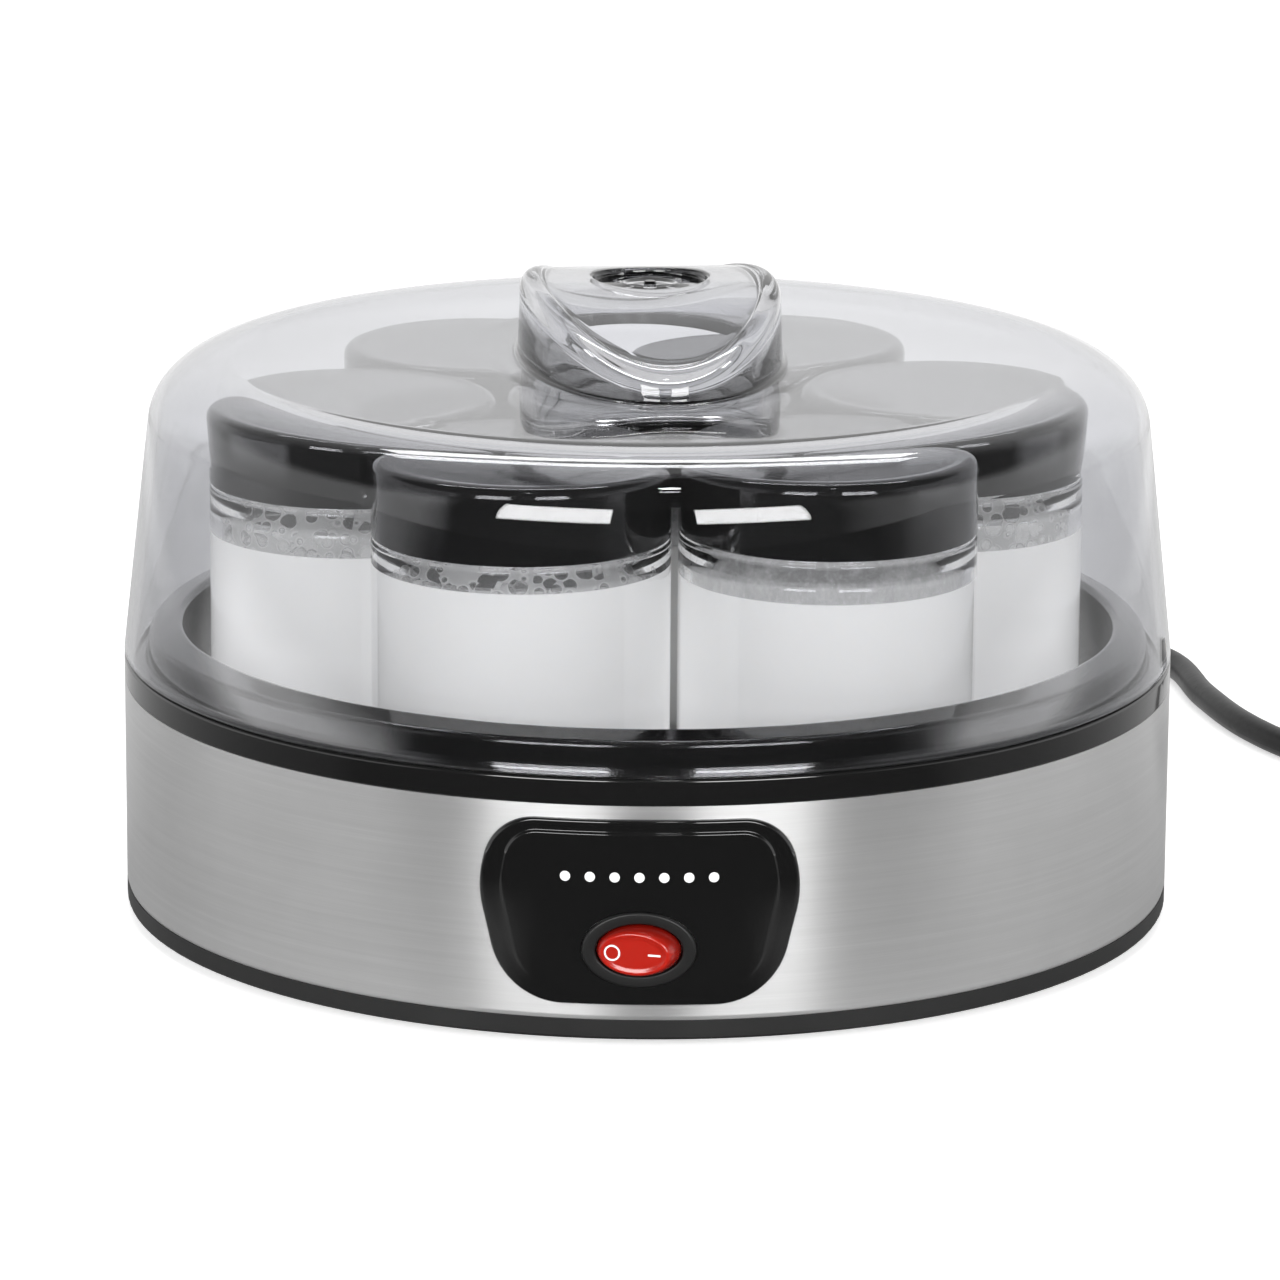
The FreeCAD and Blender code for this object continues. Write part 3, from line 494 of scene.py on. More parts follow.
SMEAR = milk_film("milk_smear", veil=0.30, foam=0.0)
# Middle jar's milk without the painted glow: a shaded copy of the milk
SHADED_MILK = milk("milk_in_shade", painted_glow=0.0)
BUBBLE = bubble_film("bubble_skin")
PRINT = paint_white("printed_white")
GLOSS_PANEL = gloss_black("panel_black", base=0.005, rough=0.06, dust=0.5)


def paint_frame_nodes():
    """Gives every CAD node the procedural material of its slot."""
    slots = {s["node"]: s["material_slot"] for s in frame["record"]["subparts"]}
    for name, obj in frame["nodes"].items():
        paint(obj, MATERIALS[slots[name]])


# ---------------------------------------------------------------- lid
FLAT_R = 97.4             # flat top of the lid, millimetres
SHOULDER_A = 19.1         # half width and half height of the shoulder's quarter ellipse
SHOULDER_B = 15.5
LID_TOP = 130.4
LID_WALL = 2.5
LID_COUNT = 224           # segments of the lid
FAN_STEPS = 8             # rings across the flat top, over it and under it
GRIP_A = 30.0             # grip's half width
GRIP_B = 58.0             # grip's half length
GRIP_ARC = 135.0          # radius of the grip's top, seen from the side
GRIP_TURN = math.radians(5.65)
GRIP_EDGE = 3.6           # rounding of the grip's rim
GRIP_LEAN = 0.5           # how far the grip's wall spreads down to its foot
GRIP_FOOT = 1.3           # rounding between the grip and the flat top
GRIP_WALL = 3.2
GRIP_CEILING = 4.2        # thickness of the grip's top
CEILING_EDGE = 2.2        # rounding of the hollow's ceiling
HOLLOW_FOOT = 0.8         # rounding at the hollow's mouth
DISH = 0.35               # the grip's top lies this much below its rim
DISH_R, DISH_INSET = 14.1, 5.0
RECESS_DEPTH = 2.2        # round recess in the middle of the grip's top
# Floor of the recess, from the low pip to the wall: radius and height over the floor.
RECESS_FLOOR = [(1.2, 0.65), (1.6, 0.0), (5.4, 0.0), (5.8, 0.3), (6.3, 0.3), (6.7, 0.0),
                (12.3, 0.0), (12.9, 0.2)]
# Upper edge of the recess: radius and depth under the dish.
RECESS_EDGE = [(13.2, 0.9), (13.3, 0.25), (13.6, 0.03), (DISH_R, 0.0)]
# Lip between the dish and the rim: inset and depth under the rim.
DISH_LIP = [(4.75, DISH * 0.85), (4.45, DISH * 0.2), (4.2, 0.0)]


def lid_point(x, y, z):
    """Turns grip coordinates in millimetres into a point of the frame."""
    c, s = math.cos(GRIP_TURN), math.sin(GRIP_TURN)
    return Vector((x * c - y * s, x * s + y * c, z)) * MM


def arc_height(y, drop=0.0):
    return GRIP_TOP - GRIP_ARC + math.sqrt((GRIP_ARC - drop) ** 2 - y * y)


def ceiling_height(y):
    return arc_height(y, GRIP_CEILING)


def blend_ring(share, radius, inset, height):
    """Ring between a circle of a radius (share 0) and the grip's inset outline (share 1)."""
    ring = []
    for i in range(LID_COUNT):
        t = 2 * math.pi * i / LID_COUNT
        x = (radius * (1 - share) + (GRIP_A - inset) * share) * math.cos(t)
        y = (radius * (1 - share) + (GRIP_B - inset) * share) * math.sin(t)
        ring.append(lid_point(x, y, height(y) if callable(height) else height))
    return ring


def round_ring(radius, height):
    return blend_ring(0, radius, 0, height)


def grip_ring(inset, height):
    return blend_ring(1, 0, inset, height)


def grip_outside():
    """Rings from the middle of the grip's top out to the lid's flat top."""
    floor_z = GRIP_TOP - RECESS_DEPTH
    rings = [[lid_point(0, 0, floor_z + 0.7)]]
    for radius, rise in RECESS_FLOOR:
        rings.append(round_ring(radius, floor_z + rise))
    for radius, drop in RECESS_EDGE:
        rings.append(round_ring(radius, lambda y: arc_height(y) - DISH - drop))
    for k in range(1, 13):
        rings.append(blend_ring(k / 12, DISH_R, DISH_INSET, lambda y: arc_height(y) - DISH))
    for inset, drop in DISH_LIP:
        rings.append(grip_ring(inset, lambda y: arc_height(y) - drop))
    for c, s in quarter(0, 9):
        rings.append(grip_ring(GRIP_EDGE * (1 - s), lambda y: arc_height(y) - GRIP_EDGE * (1 - c)))
    for share in (0.25, 0.5, 0.75, 1.0):
        rings.append(grip_ring(-GRIP_LEAN * share, lambda y: (
            (arc_height(y) - GRIP_EDGE) * (1 - share) + (LID_TOP + GRIP_FOOT) * share)))
    for c, s in quarter(1, 6):
        rings.append(grip_ring(-GRIP_LEAN - GRIP_FOOT * (1 - c), LID_TOP + GRIP_FOOT * (1 - s)))
    for k in range(1, FAN_STEPS + 1):
        rings.append(blend_ring(1 - k / FAN_STEPS, FLAT_R, -GRIP_LEAN - GRIP_FOOT, LID_TOP))
    return rings


def grip_inside():
    """Rings from the middle of the hollow's ceiling out to the underside of the flat top."""
    under = LID_TOP - LID_WALL
    rings = [[lid_point(0, 0, ceiling_height(0))]]
    for k in range(1, 13):
        rings.append(blend_ring(k / 12, 0.5, GRIP_WALL + CEILING_EDGE, ceiling_height))
    for c, s in quarter(1, 7):
        rings.append(grip_ring(GRIP_WALL + CEILING_EDGE * (1 - s),
                               lambda y: ceiling_height(y) - CEILING_EDGE * (1 - c)))
    for share in (0.25, 0.5, 0.75):
        rings.append(grip_ring(GRIP_WALL, lambda y: (
            (ceiling_height(y) - CEILING_EDGE) * (1 - share) + under * share)))
    for c, s in quarter(0, 4):
        rings.append(grip_ring(GRIP_WALL - HOLLOW_FOOT * (1 - c), under + HOLLOW_FOOT * (1 - s)))
    for k in range(1, FAN_STEPS + 1):
        rings.append(blend_ring(1 - k / FAN_STEPS, FLAT_R, GRIP_WALL - HOLLOW_FOOT, under))
    return rings


def shell_rings(wall, rise):
    """Rings of the shoulder and of the side tangent to it, at a depth inside the skin.

    The side ends at a rise above the lid's seat."""
    a, b = SHOULDER_A - wall, SHOULDER_B - wall
    centre_z = LID_TOP - SHOULDER_B
    low = Vector((BODY_R - wall, LID_SEAT + rise))
    u, v = (low.x - FLAT_R) / a, (low.y - centre_z) / b
    touch = math.atan2(v, u) + math.acos(1 / math.hypot(u, v))
    rings = []
    for k in range(1, 21):
        t = math.pi / 2 + (touch - math.pi / 2) * k / 20
        end = Vector((FLAT_R + a * math.cos(t), centre_z + b * math.sin(t)))
        rings.append(round_ring(end.x, end.y))
    for share in [k / 8 for k in range(1, 8)] + [0.985, 1.0]:
        point = end.lerp(low, share)
        rings.append(round_ring(point.x, point.y))
    return rings


def lid():
    """Clear lid and hollow grip as one closed skin."""
    outside = grip_outside() + shell_rings(0, 1.0)
    edge = [round_ring(BODY_R - 0.25, LID_SEAT + 0.25), round_ring(BODY_R - 0.8, LID_SEAT),
            round_ring(BODY_R - LID_WALL + 0.5, LID_SEAT)]
    inside = grip_inside() + shell_rings(LID_WALL, 0.7)
    bm = bmesh.new()
    bridge(bm, outside + edge + inside[::-1])
    finish_mesh("clear_lid", bm, "lid", MATERIALS["clear_lid"], SHARP_FINE, "lid")


# ---------------------------------------------------------------- housing
BASIN_R = 108.5           # inside of the basin at the lip
LIP_OUT_R = 116.4
LEDGE_R = 117.2           # inner edge of the ledge the lid sits on
LIP_ROUNDING = 1.6
SEAT_CUT_R = 33.6         # round seat of each jar in the basin floor
SEAT_DEPTH = 0.8
FLOOR_T = 3.0             # basin floor, seats not counted
SKIRT_Z = 58.5            # lower edge of the tray's skirt inside the band


def tray():
    """Black tray: ring, ledge, raised lip, basin and round jar seats."""
    basin_floor = JAR_FLOOR + SEAT_DEPTH
    under = JAR_FLOOR - (FLOOR_T - SEAT_DEPTH)
    bm = lathe([
        (0, basin_floor), (BASIN_R - 1, basin_floor, 2.5), (BASIN_R, LIP_TOP, LIP_ROUNDING),
        (LIP_OUT_R, LIP_TOP - 1.8, LIP_ROUNDING), (LEDGE_R, LID_SEAT, 0.8),
        (BODY_R, LID_SEAT, 0.7), (BODY_R, BAND_TOP, 0.3), (BODY_R - 3.4, BAND_TOP),
        (BODY_R - 3.6, SKIRT_Z), (BASIN_R + 5, SKIRT_Z), (BASIN_R + 4.8, 65.8),
        (BASIN_R + 2.3, 66.6), (BASIN_R + 1.4, under, 4), (0, under)])
    obj = finish_mesh("black_tray", bm, "base", MATERIALS["black_gloss"],
                      node="jar_tray")
    for centre in jar_centres():
        cut = lathe([(0, basin_floor + 4), (SEAT_CUT_R, basin_floor + 4),
                     (SEAT_CUT_R, basin_floor - SEAT_DEPTH, 0.3), (0, basin_floor - SEAT_DEPTH)],
                    96, centre)
        bmesh.ops.recalc_face_normals(cut, faces=cut.faces[:])
        mesh = bpy.data.meshes.new("seat_cut")
        cut.to_mesh(mesh)
        cut.free()
        apply_cut(obj, add_object("seat_cut", mesh))
    bm = bmesh.new()
    bm.from_mesh(obj.data)
    shade(bm, SHARP)
    bm.to_mesh(obj.data)
    bm.free()


def apply_cut(obj, cutter):
    """Cuts one mesh out of another and removes the cutter."""
    modifier = obj.modifiers.new("cut", "BOOLEAN")
    modifier.operation = "DIFFERENCE"
    modifier.solver = "EXACT"
    modifier.object = cutter
    bpy.context.view_layer.update()
    graph = bpy.context.evaluated_depsgraph_get()
    mesh = bpy.data.meshes.new_from_object(obj.evaluated_get(graph))
    obj.modifiers.clear()
    obj.data = mesh
    bpy.data.objects.remove(cutter)


def band():
    """Brushed steel band with a slight curl at its foot."""
    bm = lathe([(BODY_R - 0.9, BAND_FOOT), (BODY_R - 0.3, BAND_FOOT, 0.12),
                (BODY_R, BAND_FOOT + 0.9, 1.5), (BODY_R, BAND_TOP, 0.1),
                (BODY_R - 0.9, BAND_TOP)])
    finish_mesh("steel_band_skin", bm, "base", MATERIALS["brushed_band"],
                node="steel_band")


# ---------------------------------------------------------------- jars
NECK_R = 30.6
JAR_WALL = 3.0
BEAD = 0.55               # height of the thread bead on the neck
SHOULDER_Z = CAP_FOOT - 0.3
BASE_T = 5                # thickness of the glass under the milk
FILM_GAP = 0.06           # the film stands this far off the glass
FILM_T = 0.08
CAP_BORE = NECK_R + 0.8
CAP_BEAD = 0.5
CAP_T = 2
FOAMY = (1, 3, 6)         # jars with foam on the glass; the others have a thin smear
MIDDLE_JAR = 7            # stands in the others' shade
FROTH = {1: (70, 2.6), 2: (26, 1.5), 3: (30, 1.6), 4: (26, 1.5), 5: (26, 1.5), 6: (44, 2.9),
         7: (24, 1.5)}    # bubbles of each jar and the radius of the largest
FIRST_SEED = 100


def jar(k, centre):
    """Glass jar: heel, straight wall, neck with thread bead, punt under the base."""
    neck, bore, inner = NECK_R, NECK_R - JAR_WALL, GLASS_R - JAR_WALL
    bm = lathe([
        (0, JAR_BASE + 0.9), (20, JAR_BASE + 0.8, 2), (23, JAR_BASE, 0.8),
        (GLASS_R, JAR_BASE, 4.5), (GLASS_R, SHOULDER_Z - 0.4, 1.0), (neck, SHOULDER_Z, 0.4),
        (neck, SHOULDER_Z + 5.4), (neck + BEAD, SHOULDER_Z + 5.8, 0.2),
        (neck + BEAD, SHOULDER_Z + 6.6, 0.2), (neck, SHOULDER_Z + 7), (neck, JAR_TOP, 1.2),
        (bore, JAR_TOP, 1.2), (bore, SHOULDER_Z - 2, 2), (inner, SHOULDER_Z - 6, 4),
        (inner, JAR_BASE + BASE_T, 5), (0, JAR_BASE + BASE_T)], SMALL_ROUND, centre)
    finish_mesh("glass_jar_%d" % k, bm, "jar_%d" % k, MATERIALS["jar_glass"],
                node="jar_%d" % k)


def fill(k, centre, level):
    """Milk with a raised edge where it meets the glass."""
    bottom = JAR_BASE + BASE_T - 0.1
    wet = GLASS_R - JAR_WALL + 0.12
    bm = lathe([(0, bottom), (wet, bottom, 5), (wet, level + 0.9, 0.1),
                (wet - 0.5, level + 0.5, 0.3), (wet - 2.2, level, 2.0), (0, level)],
               SMALL_ROUND, centre)
    material = SHADED_MILK if k == MIDDLE_JAR else MATERIALS["milk"]
    finish_mesh("milk_%d" % k, bm, "jar_%d" % k, material, node="yogurt_%d" % k)


def film(k, centre, level):
    """Thin milk film on the glass from the level up into the neck."""
    wet = GLASS_R - JAR_WALL - FILM_GAP
    neck = NECK_R - JAR_WALL - FILM_GAP
    bm = lathe([
        (wet, level - 0.4), (wet, SHOULDER_Z - 6, 4), (neck, SHOULDER_Z - 2, 2),
        (neck, SHOULDER_Z + 1), (neck - FILM_T, SHOULDER_Z + 1),
        (neck - FILM_T, SHOULDER_Z - 2, 2), (wet - FILM_T, SHOULDER_Z - 6, 4),
        (wet - FILM_T, level - 0.4)], SMALL_ROUND, centre)
    finish_mesh("milk_film_%d" % k, bm, "jar_%d" % k, FOAM if k in FOAMY else SMEAR)


def froth(k, centre, level):
    """A ring of bubbles where the milk meets the glass."""
    draw = random.Random(FIRST_SEED + k)
    count, largest = FROTH[k]
    bm = bmesh.new()
    for _ in range(count):
        radius = largest * draw.uniform(0.22, 1.0) ** 1.4
        a = draw.uniform(0, 2 * math.pi)
        reach = GLASS_R - JAR_WALL - radius - 0.15
        rise = draw.uniform(-0.2, 0.65) * radius
        tall = draw.uniform(0.9, 1.3)
        middle = Vector((centre[0] / MM + reach * math.cos(a),
                         centre[1] / MM + reach * math.sin(a), level + rise))
        ball = bmesh.ops.create_icosphere(bm, subdivisions=2, radius=radius * MM)
        for vert in ball["verts"]:
            vert.co.z *= tall
            vert.co += middle * MM
    finish_mesh("froth_%d" % k, bm, "jar_%d" % k, BUBBLE, 80.0)


def cap(k, centre):
    """Smooth screw cap: rounded top edge, thin lower lip, bead inside."""
    bead = CAP_BORE - CAP_BEAD
    bm = lathe([
        (0, CAP_TOP - 0.12), (CAP_R - 5, CAP_TOP - 0.1, 1.5), (CAP_R - 3.2, CAP_TOP, 1.0),
        (CAP_R, CAP_TOP, 2.6), (CAP_R, CAP_FOOT, 0.5), (CAP_BORE, CAP_FOOT, 0.4),
        (CAP_BORE, CAP_FOOT + 2.9), (bead, CAP_FOOT + 3.3, 0.2), (bead, CAP_FOOT + 4.1, 0.2),
        (CAP_BORE, CAP_FOOT + 4.5), (CAP_BORE, CAP_TOP - CAP_T), (0, CAP_TOP - CAP_T)],
        SMALL_ROUND, centre)
    finish_mesh("screw_cap_%d" % k, bm, "cap_%d" % k, MATERIALS["cap_black"],
                node="jar_cap_%d" % k)


def jars():
    for k, centre in enumerate(jar_centres(), start=1):
        level = heights("yogurt_%d" % k)[1]
        jar(k, centre)
        fill(k, centre, level)
        film(k, centre, level)
        froth(k, centre, level)
        cap(k, centre)


# ---------------------------------------------------------------- control panel
PANEL_CORNERS = [(-29.5, 10.2, 16), (29.5, 10.2, 16), (35.6, 36.0, 24), (32, 52.1, 12),
                 (-32, 52.1, 12), (-35.6, 36.0, 24)]
PANEL_STEPS = 20          # points in each corner of the outline
PANEL_BACK = BODY_R - 0.6
RIM_LIFT = 0.25           # height over the band where the rim starts to round
RIM_STOP = 0.35           # the rounding rises to the border's height less this
BORDER_DROP = 0.65        # depth of the sunken border under the field
FITTING_GAP = 0.15        # gap around the bezel
DOT_COUNT = 7
DOT_PITCH = 5.4
DOT_HEIGHT = 0.70         # height of the row as a share of the panel's
DOT_SECTION = [(0, 0.06), (0.95, 0.06), (1.12, 0.02), (1.15, -0.05), (0, -0.05)]


def inset_outline(inset):
    """Panel outline moved inwards: less at the top and bottom than at the sides."""
    corners = []
    for i, corner in enumerate(PANEL_CORNERS):
        moved = fillet(PANEL_CORNERS, i, inset)[3]
        taller = PANEL_MIDDLE + (moved.y - PANEL_MIDDLE) * (1 + 0.020 * inset) + 0.08 * inset
        corners.append((moved.x, taller, corner[2] - inset))
    return rounded(corners, PANEL_STEPS)


def on_face(u, v, radius):
    """A point of the panel: u across, v up, at a distance from the body's axis."""
    return Vector((u, -math.sqrt(radius * radius - u * u), v)) * MM


def panel_ring(inset, radius):
    """One ring of the panel, with extra points along its straight runs."""
    points = inset_outline(inset)
    plain = inset_outline(0)
    ring = []
    for i, p in enumerate(points):
        q = points[(i + 1) % len(points)]
        ring.append(on_face(p.x, p.y, radius))
        if (plain[(i + 1) % len(plain)] - plain[i]).length > 4:
            for k in range(1, 10):
                between = p.lerp(q, k / 10)
                ring.append(on_face(between.x, between.y, radius))
    return ring


def panel():
    """Gloss panel: rounded rim, sunken border, crisp step and raised field with the switch."""
    field = PANEL_FACE - BODY_R
    border = field - BORDER_DROP
    rings = [panel_ring(1.0, PANEL_BACK), panel_ring(0.0, PANEL_BACK),
             panel_ring(0.0, BODY_R + RIM_LIFT)]
    for c, s in quarter(1, 7):
        rings.append(panel_ring(1.1 * (1 - c), BODY_R + RIM_LIFT + (border - RIM_STOP) * s))
    for inset, lift in ((3.0, border - 0.03), (4.3, border), (4.5, border + 0.04),
                        (4.65, border + 0.16), (4.8, field - 0.18), (4.95, field - 0.06),
                        (5.15, field - 0.01), (5.4, field)):
        rings.append(panel_ring(inset, BODY_R + lift))
    last = [(p.x / MM, p.z / MM) for p in rings[-1]]
    for k in range(1, 7):
        ring = []
        for u, v in last:
            a = math.atan2((v - SWITCH.z) / BEZEL_B, u / BEZEL_A)
            edge = Vector(((BEZEL_A + FITTING_GAP) * math.cos(a),
                           SWITCH.z + (BEZEL_B + FITTING_GAP) * math.sin(a)))
            point = Vector((u, v)).lerp(edge, k / 6)
            ring.append(on_face(point.x, point.y, PANEL_FACE))
        rings.append(ring)
    rings.append([Vector((p.x, p.y + 0.1 * MM, p.z)) for p in rings[-1]])
    rings.append([Vector((p.x, -PANEL_BACK * MM, p.z)) for p in rings[-1]])
    bm = bmesh.new()
    bridge(bm, rings, closed=True)
    finish_mesh("gloss_panel", bm, "base", GLOSS_PANEL, SHARP_FINE,
                "control_panel")


def dot_row():
    """Plain generic mark: a row of small printed dots."""
    bm = bmesh.new()
    z = PANEL_LOW.z / MM + DOT_HEIGHT * (PANEL_HIGH.z - PANEL_LOW.z) / MM
    for k in range(DOT_COUNT):
        u = (k - DOT_COUNT // 2) * DOT_PITCH
        rings = []
        for radius, lift in DOT_SECTION:
            if radius == 0:
                rings.append([on_face(u, z, PANEL_FACE + lift)])
                continue
            rings.append([on_face(u + radius * math.cos(t * math.pi / 16),
                                  z + radius * math.sin(t * math.pi / 16), PANEL_FACE + lift)
                          for t in range(32)])
        bridge(bm, rings)
    finish_mesh("dot_row", bm, "base", PRINT, 60.0)


# ---------------------------------------------------------------- switch
BEZEL_DEPTH = 8
BEZEL_EDGE = 0.55
NECK_INSET = 1.4          # the body behind the bezel's flange is this much smaller
WELL_A = 9.5              # half width and half height of the well behind the bezel
WELL_B = 5.9
WELL_LIP = [(0.5, 0.0), (0.22, 0.06), (0.05, 0.25), (0.0, 0.6)]   # growth and depth
ROCKER_A = 9.3
ROCKER_B = 5.7
ROCKER_FACE = 5.1         # distance of the rocker's rim from its pivot
FACE_SINK = 0.22          # the flat face lies this much below the rim
RING_AT, RING_IN, RING_OUT = -4.9, 1.42, 1.80   # printed ring: place and radii
BAR_AT, BAR_HALF, BAR_THIN = 4.5, 1.4, 0.22     # printed bar: place and half sizes
MARK_LIFT, MARK_SUNK = 0.06, -0.04
MARK_STEPS = 48


def oval_ring(a, b, y, tilt=0.0, count=96):
    """Oval ring about the switch axis, at a depth y from the rocker's pivot."""
    ring = []
    for i in range(count):
        t = 2 * math.pi * i / count
        p = Vector((a * math.cos(t), y, b * math.sin(t)))
        p.rotate(Matrix.Rotation(tilt, 3, "Z"))
        ring.append((p + SWITCH) * MM)
    return ring


def bezel():
    """Oval bezel: soft outer edge, flat face, sloped inner lip and dark well."""
    front = BEZEL_FACE - SWITCH.y
    back = front + BEZEL_DEPTH
    a, b = BEZEL_A, BEZEL_B
    rings = [[(Vector((0, back, 0)) + SWITCH) * MM],
             oval_ring(a - NECK_INSET, b - NECK_INSET, back),
             oval_ring(a - NECK_INSET, b - NECK_INSET, front + 1.4),
             oval_ring(a, b, front + 1.4)]
    for c, s in quarter(0, 6):
        rings.append(oval_ring(a - BEZEL_EDGE * (1 - c), b - BEZEL_EDGE * (1 - c),
                               front + BEZEL_EDGE * (1 - s)))
    for grow, depth in WELL_LIP:
        rings.append(oval_ring(WELL_A + grow, WELL_B + grow, front + depth))
    rings += [oval_ring(WELL_A, WELL_B, back - 1), [(Vector((0, back - 1, 0)) + SWITCH) * MM]]
    bm = bmesh.new()
    bridge(bm, rings)
    finish_mesh("switch_bezel", bm, "base", MATERIALS["bakelite"], 45.0,
                "switch_housing")


def rocker_face_point(u, v, lift):
    """A point on the rocker's tilted face."""
    p = Vector((u, -ROCKER_FACE + FACE_SINK - lift, v))
    p.rotate(Matrix.Rotation(-ROCKER_TILT, 3, "Z"))
    return (p + SWITCH) * MM


def rocker_ring(y, shrink, size_at):
    """Ring at a depth y, with the oval's size taken where the round end walls are at a depth."""
    share = math.sqrt(max(0.0, 1 - (size_at / ROCKER_A) ** 2))
    return oval_ring(ROCKER_A * share - shrink, ROCKER_B * share - shrink, y, -ROCKER_TILT)


def rocker():
    """Red rocker: end walls round about the pivot, raised rim around a flat face."""
    rings = [[rocker_face_point(0, 0, 0)]]
    for shrink, sink in ((3.6, FACE_SINK), (2.0, FACE_SINK), (1.0, FACE_SINK), (0.75, 0.02),
                         (0.4, 0.0), (0.12, 0.06)):
        rings.append(rocker_ring(-ROCKER_FACE + sink, shrink, ROCKER_FACE))
    for k in range(1, 10):
        y = -ROCKER_FACE + 0.3 + (ROCKER_FACE + 2.4) * k / 9 - 0.3 * (1 - k / 9)
        rings.append(rocker_ring(y, 0.0, y))
    for y, shrink in ((2.7, 1.3), (0.0, 1.4), (-2.5, 1.4)):
        rings.append(rocker_ring(y, shrink, y))
    rings.append([rocker_face_point(0, 0, -1.6)])
    bm = bmesh.new()
    bridge(bm, rings)
    finish_mesh("red_rocker", bm, "rocker", MATERIALS["red_clear"], SHARP_FINE,
                "rocker")


def rocker_marks():
    """The usual ring for off and bar for on, printed on the rocker."""
    bm = bmesh.new()
    circles = []
    for radius, up in ((RING_IN, MARK_SUNK), (RING_IN, MARK_LIFT), (RING_OUT, MARK_LIFT),
                       (RING_OUT, MARK_SUNK)):
        turns = [2 * math.pi * i / MARK_STEPS for i in range(MARK_STEPS)]
        circles.append([rocker_face_point(RING_AT + radius * math.cos(t), radius * math.sin(t),
                                          up) for t in turns])
    bridge(bm, circles, closed=True)
    outline = rounded([(-BAR_HALF, -BAR_THIN, 0.1), (BAR_HALF, -BAR_THIN, 0.1),
                       (BAR_HALF, BAR_THIN, 0.1), (-BAR_HALF, BAR_THIN, 0.1)], 3)
    rings = [[rocker_face_point(BAR_AT, 0, MARK_SUNK)]]
    for up in (MARK_SUNK, MARK_LIFT):
        rings.append([rocker_face_point(BAR_AT + p.x, p.y, up) for p in outline])
    rings.append([rocker_face_point(BAR_AT, 0, MARK_LIFT)])
    bridge(bm, rings)
    finish_mesh("rocker_marks", bm, "rocker", PRINT, 60.0)


# ---------------------------------------------------------------- stage, light and camera
# Painted reflection, glowing grey levels that mirrors see on the floor by compass direction:
# next to the foot, within half a metre, and further away.
PAINTED_REFLECTION_FOOT = [(-180, 0.9), (-100, 0.35), (-45, 0.40), (-22, 0.45), (-15, 0.06), (15, 0.06),
              (22, 0.40), (45, 0.35), (100, 0.35), (180, 0.9)]
PAINTED_REFLECTION_NEAR = [(-180, 0.9), (-115, 0.5), (-75, 0.22), (-58, 0.14), (-52, 0.04), (52, 0.04),
              (60, 0.20), (78, 0.28), (115, 0.6), (180, 0.9)]
PAINTED_REFLECTION_FAR = [(-180, 0.5), (-125, 0.2), (-108, 0.2), (-95, 1.0), (-55, 1.0), (-48, 0.02),
             (58, 0.02), (70, 0.9), (95, 0.9), (108, 0.25), (125, 0.25), (180, 0.5)]
# Share of the distant painted reflection by distance, where 1 stands for two metres.
PAINTED_REFLECTION_FAR_SHARE = [(0.0, 0), (0.27, 0), (0.34, 1), (0.45, 1), (0.60, 0.30), (1.0, 0.30)]
FLOOR_REACH = 40
# What surfaces see of the room's walls, low and high.
WALLS = [(-180, 0.9), (-120, 0.78), (-75, 0.88), (-52, 0.9), (-44, 0.08), (44, 0.08),
         (54, 0.5), (70, 0.85), (90, 0.92), (120, 0.9), (180, 0.9)]
HIGH_WALLS = [(-180, 0.8), (-150, 0.7), (-125, 0.10), (125, 0.10), (150, 0.7), (180, 0.8)]
HIGH_FROM, HIGH_TO = 0.36, 0.56   # rise of the direction over which the walls change
BOX_DISTANCE = 1.25
BOX_WIDTH = 0.54
BOX_LOW, BOX_HIGH = 0.17, 0.74
BOX_LEVEL = 10.5
CAMERA_PLACE = (0.01672, -1.4740, 0.42773)
CAMERA_DOWN, CAMERA_TURN, CAMERA_ROLL = 0.2433, -0.012545, 0.0064   # radians
CAMERA_LENS = 181.84


def floor():
    """Pale floor.  Mirror reflections see a glowing painted reflection on it, dark towards the
    camera.
    """
    mesh = bpy.data.meshes.new("floor")
    r = FLOOR_REACH
    mesh.from_pydata([(-r, -r, 0), (r, -r, 0), (r, r, 0), (-r, r, 0)], [], [(0, 1, 2, 3)])
    obj = add_object("floor", mesh)
    m = Material("pale_floor_painted_reflection")
    place = m.add("ShaderNodeNewGeometry").outputs["Position"]
    away = m.add("ShaderNodeVectorMath", {0: place}, operation="LENGTH").outputs["Value"]
    far_painted_share = m.ramp(m.remap(away, 0, 1, 0, 2), PAINTED_REFLECTION_FAR_SHARE)
    near_painted_reflection = m.mix(m.remap(away, 0, 1, 0.20, 0.25), m.sector(place, PAINTED_REFLECTION_FOOT),
                 m.sector(place, PAINTED_REFLECTION_NEAR))
    ray = m.ray()
    white = m.principled({
        "Base Color": grey(0.86), "Roughness": 0.6, "Specular IOR Level": 0.2,
        "Emission Color": grey(1.0),
        "Emission Strength": m.remap(ray["Is Camera Ray"], 0.3, 0.62)})
    # painted reflection: glowing grey levels shown only to mirror rays
    painted_reflection = m.add("ShaderNodeEmission", {"Color": m.mix(far_painted_share, near_painted_reflection, m.sector(place, PAINTED_REFLECTION_FAR)),
                                        "Strength": m.remap(far_painted_share, 1.0, 2.3)}).outputs[0]
    paint(obj, m.surface(m.mix_shader(ray["Is Glossy Ray"], white, painted_reflection)))


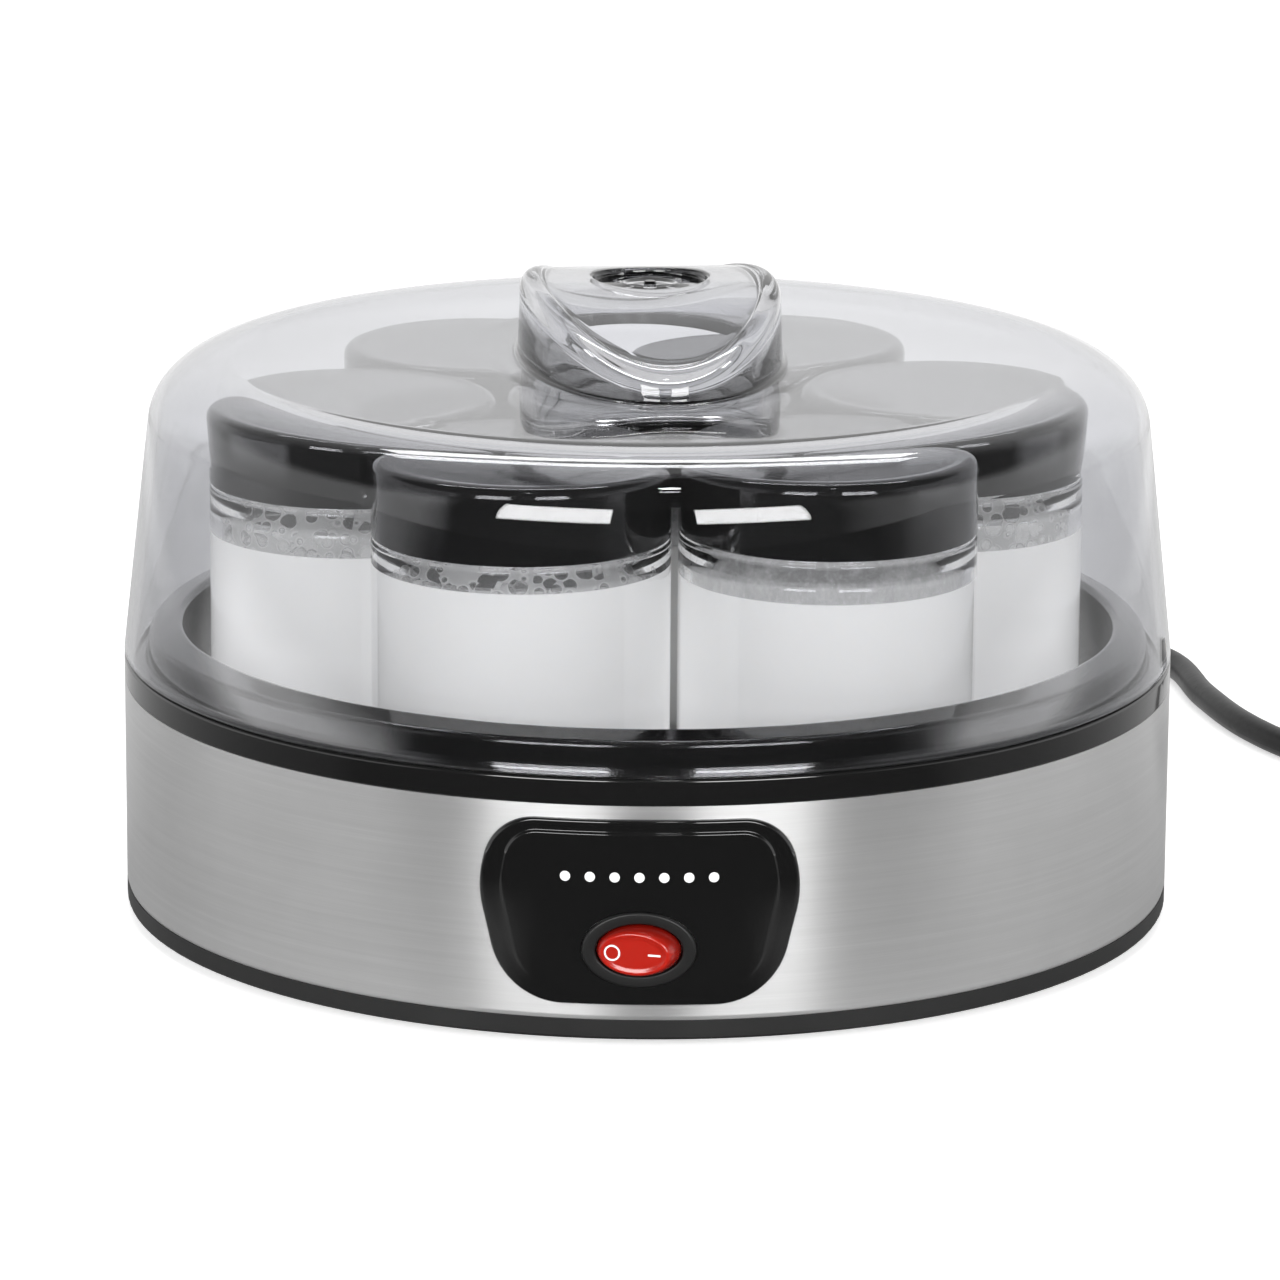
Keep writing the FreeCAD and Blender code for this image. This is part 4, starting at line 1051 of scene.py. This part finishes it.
def world():
    """White to the eye.  To surfaces: white behind and at the sides, dark in front."""
    studio = bpy.data.worlds.new("studio")
    studio.use_nodes = True
    w = Graph(studio.node_tree)
    direction = w.add("ShaderNodeTexCoord").outputs["Generated"]
    rise = w.remap(w.add("ShaderNodeSeparateXYZ", {0: direction}).outputs["Z"], 0, 1,
                   HIGH_FROM, HIGH_TO, interpolation_type="SMOOTHSTEP")
    walls = w.mix(rise, w.sector(direction, WALLS), w.sector(direction, HIGH_WALLS))
    room = w.add("ShaderNodeBackground", {"Color": walls}).outputs[0]
    eye = w.add("ShaderNodeBackground", {"Color": grey(1.0)}).outputs[0]
    w.finish("ShaderNodeOutputWorld", w.mix_shader(w.ray()["Is Camera Ray"], room, eye))
    bpy.context.scene.world = studio


def softbox(name, place, target, width, height, power, shape="RECTANGLE"):
    light = bpy.data.lights.new(name, "AREA")
    light.shape = shape
    light.size = width
    light.size_y = height
    light.energy = power
    obj = add_object(name, light)
    obj.location = place
    obj.rotation_mode = "QUATERNION"
    obj.rotation_quaternion = (Vector(target) - Vector(place)).to_track_quat("-Z", "Y")


def front_box(name, degrees):
    """A tall softbox in front, at a compass direction."""
    a = math.radians(degrees)
    middle = (BOX_LOW + BOX_HIGH) / 2
    tall = BOX_HIGH - BOX_LOW
    place = (BOX_DISTANCE * math.sin(a), -BOX_DISTANCE * math.cos(a), middle)
    softbox(name, place, (0, 0, middle), BOX_WIDTH, tall,
            BOX_LEVEL * math.pi * (BOX_WIDTH * tall))


def lights():
    front_box("left_box", -19.5)
    front_box("right_box", 23.0)
    softbox("overhead", (0.0, 0.58, 1.5), (0, 0, 0.07), 1.4, 0.15, 8)
    softbox("high_lamp", (0.10, -0.70, 1.50), (0, 0, 0.1), 0.10, 0.10, 0.8, "DISK")


def camera():
    """Long lens about 14 degrees above the table, in front and a touch to the right."""
    data = bpy.data.cameras.new("camera")
    data.lens = CAMERA_LENS
    data.sensor_width = 36.0
    data.clip_end = 100.0
    obj = add_object("camera", data)
    down, turn, roll = CAMERA_DOWN, CAMERA_TURN, CAMERA_ROLL
    ahead = Vector((math.sin(turn) * math.cos(down), math.cos(turn) * math.cos(down),
                    -math.sin(down)))
    level = Vector((math.cos(turn), -math.sin(turn), 0))
    rise = level.cross(ahead)
    right = math.cos(roll) * level + math.sin(roll) * rise
    top = math.cos(roll) * rise - math.sin(roll) * level
    axes = Matrix((right, top, -ahead)).transposed().to_4x4()
    obj.matrix_world = Matrix.Translation(CAMERA_PLACE) @ axes
    bpy.context.scene.camera = obj


bpy.context.scene.view_settings.view_transform = "Standard"
paint_frame_nodes()
lid()
tray()
band()
jars()
panel()
dot_row()
bezel()
rocker()
rocker_marks()
floor()
world()
lights()
camera()
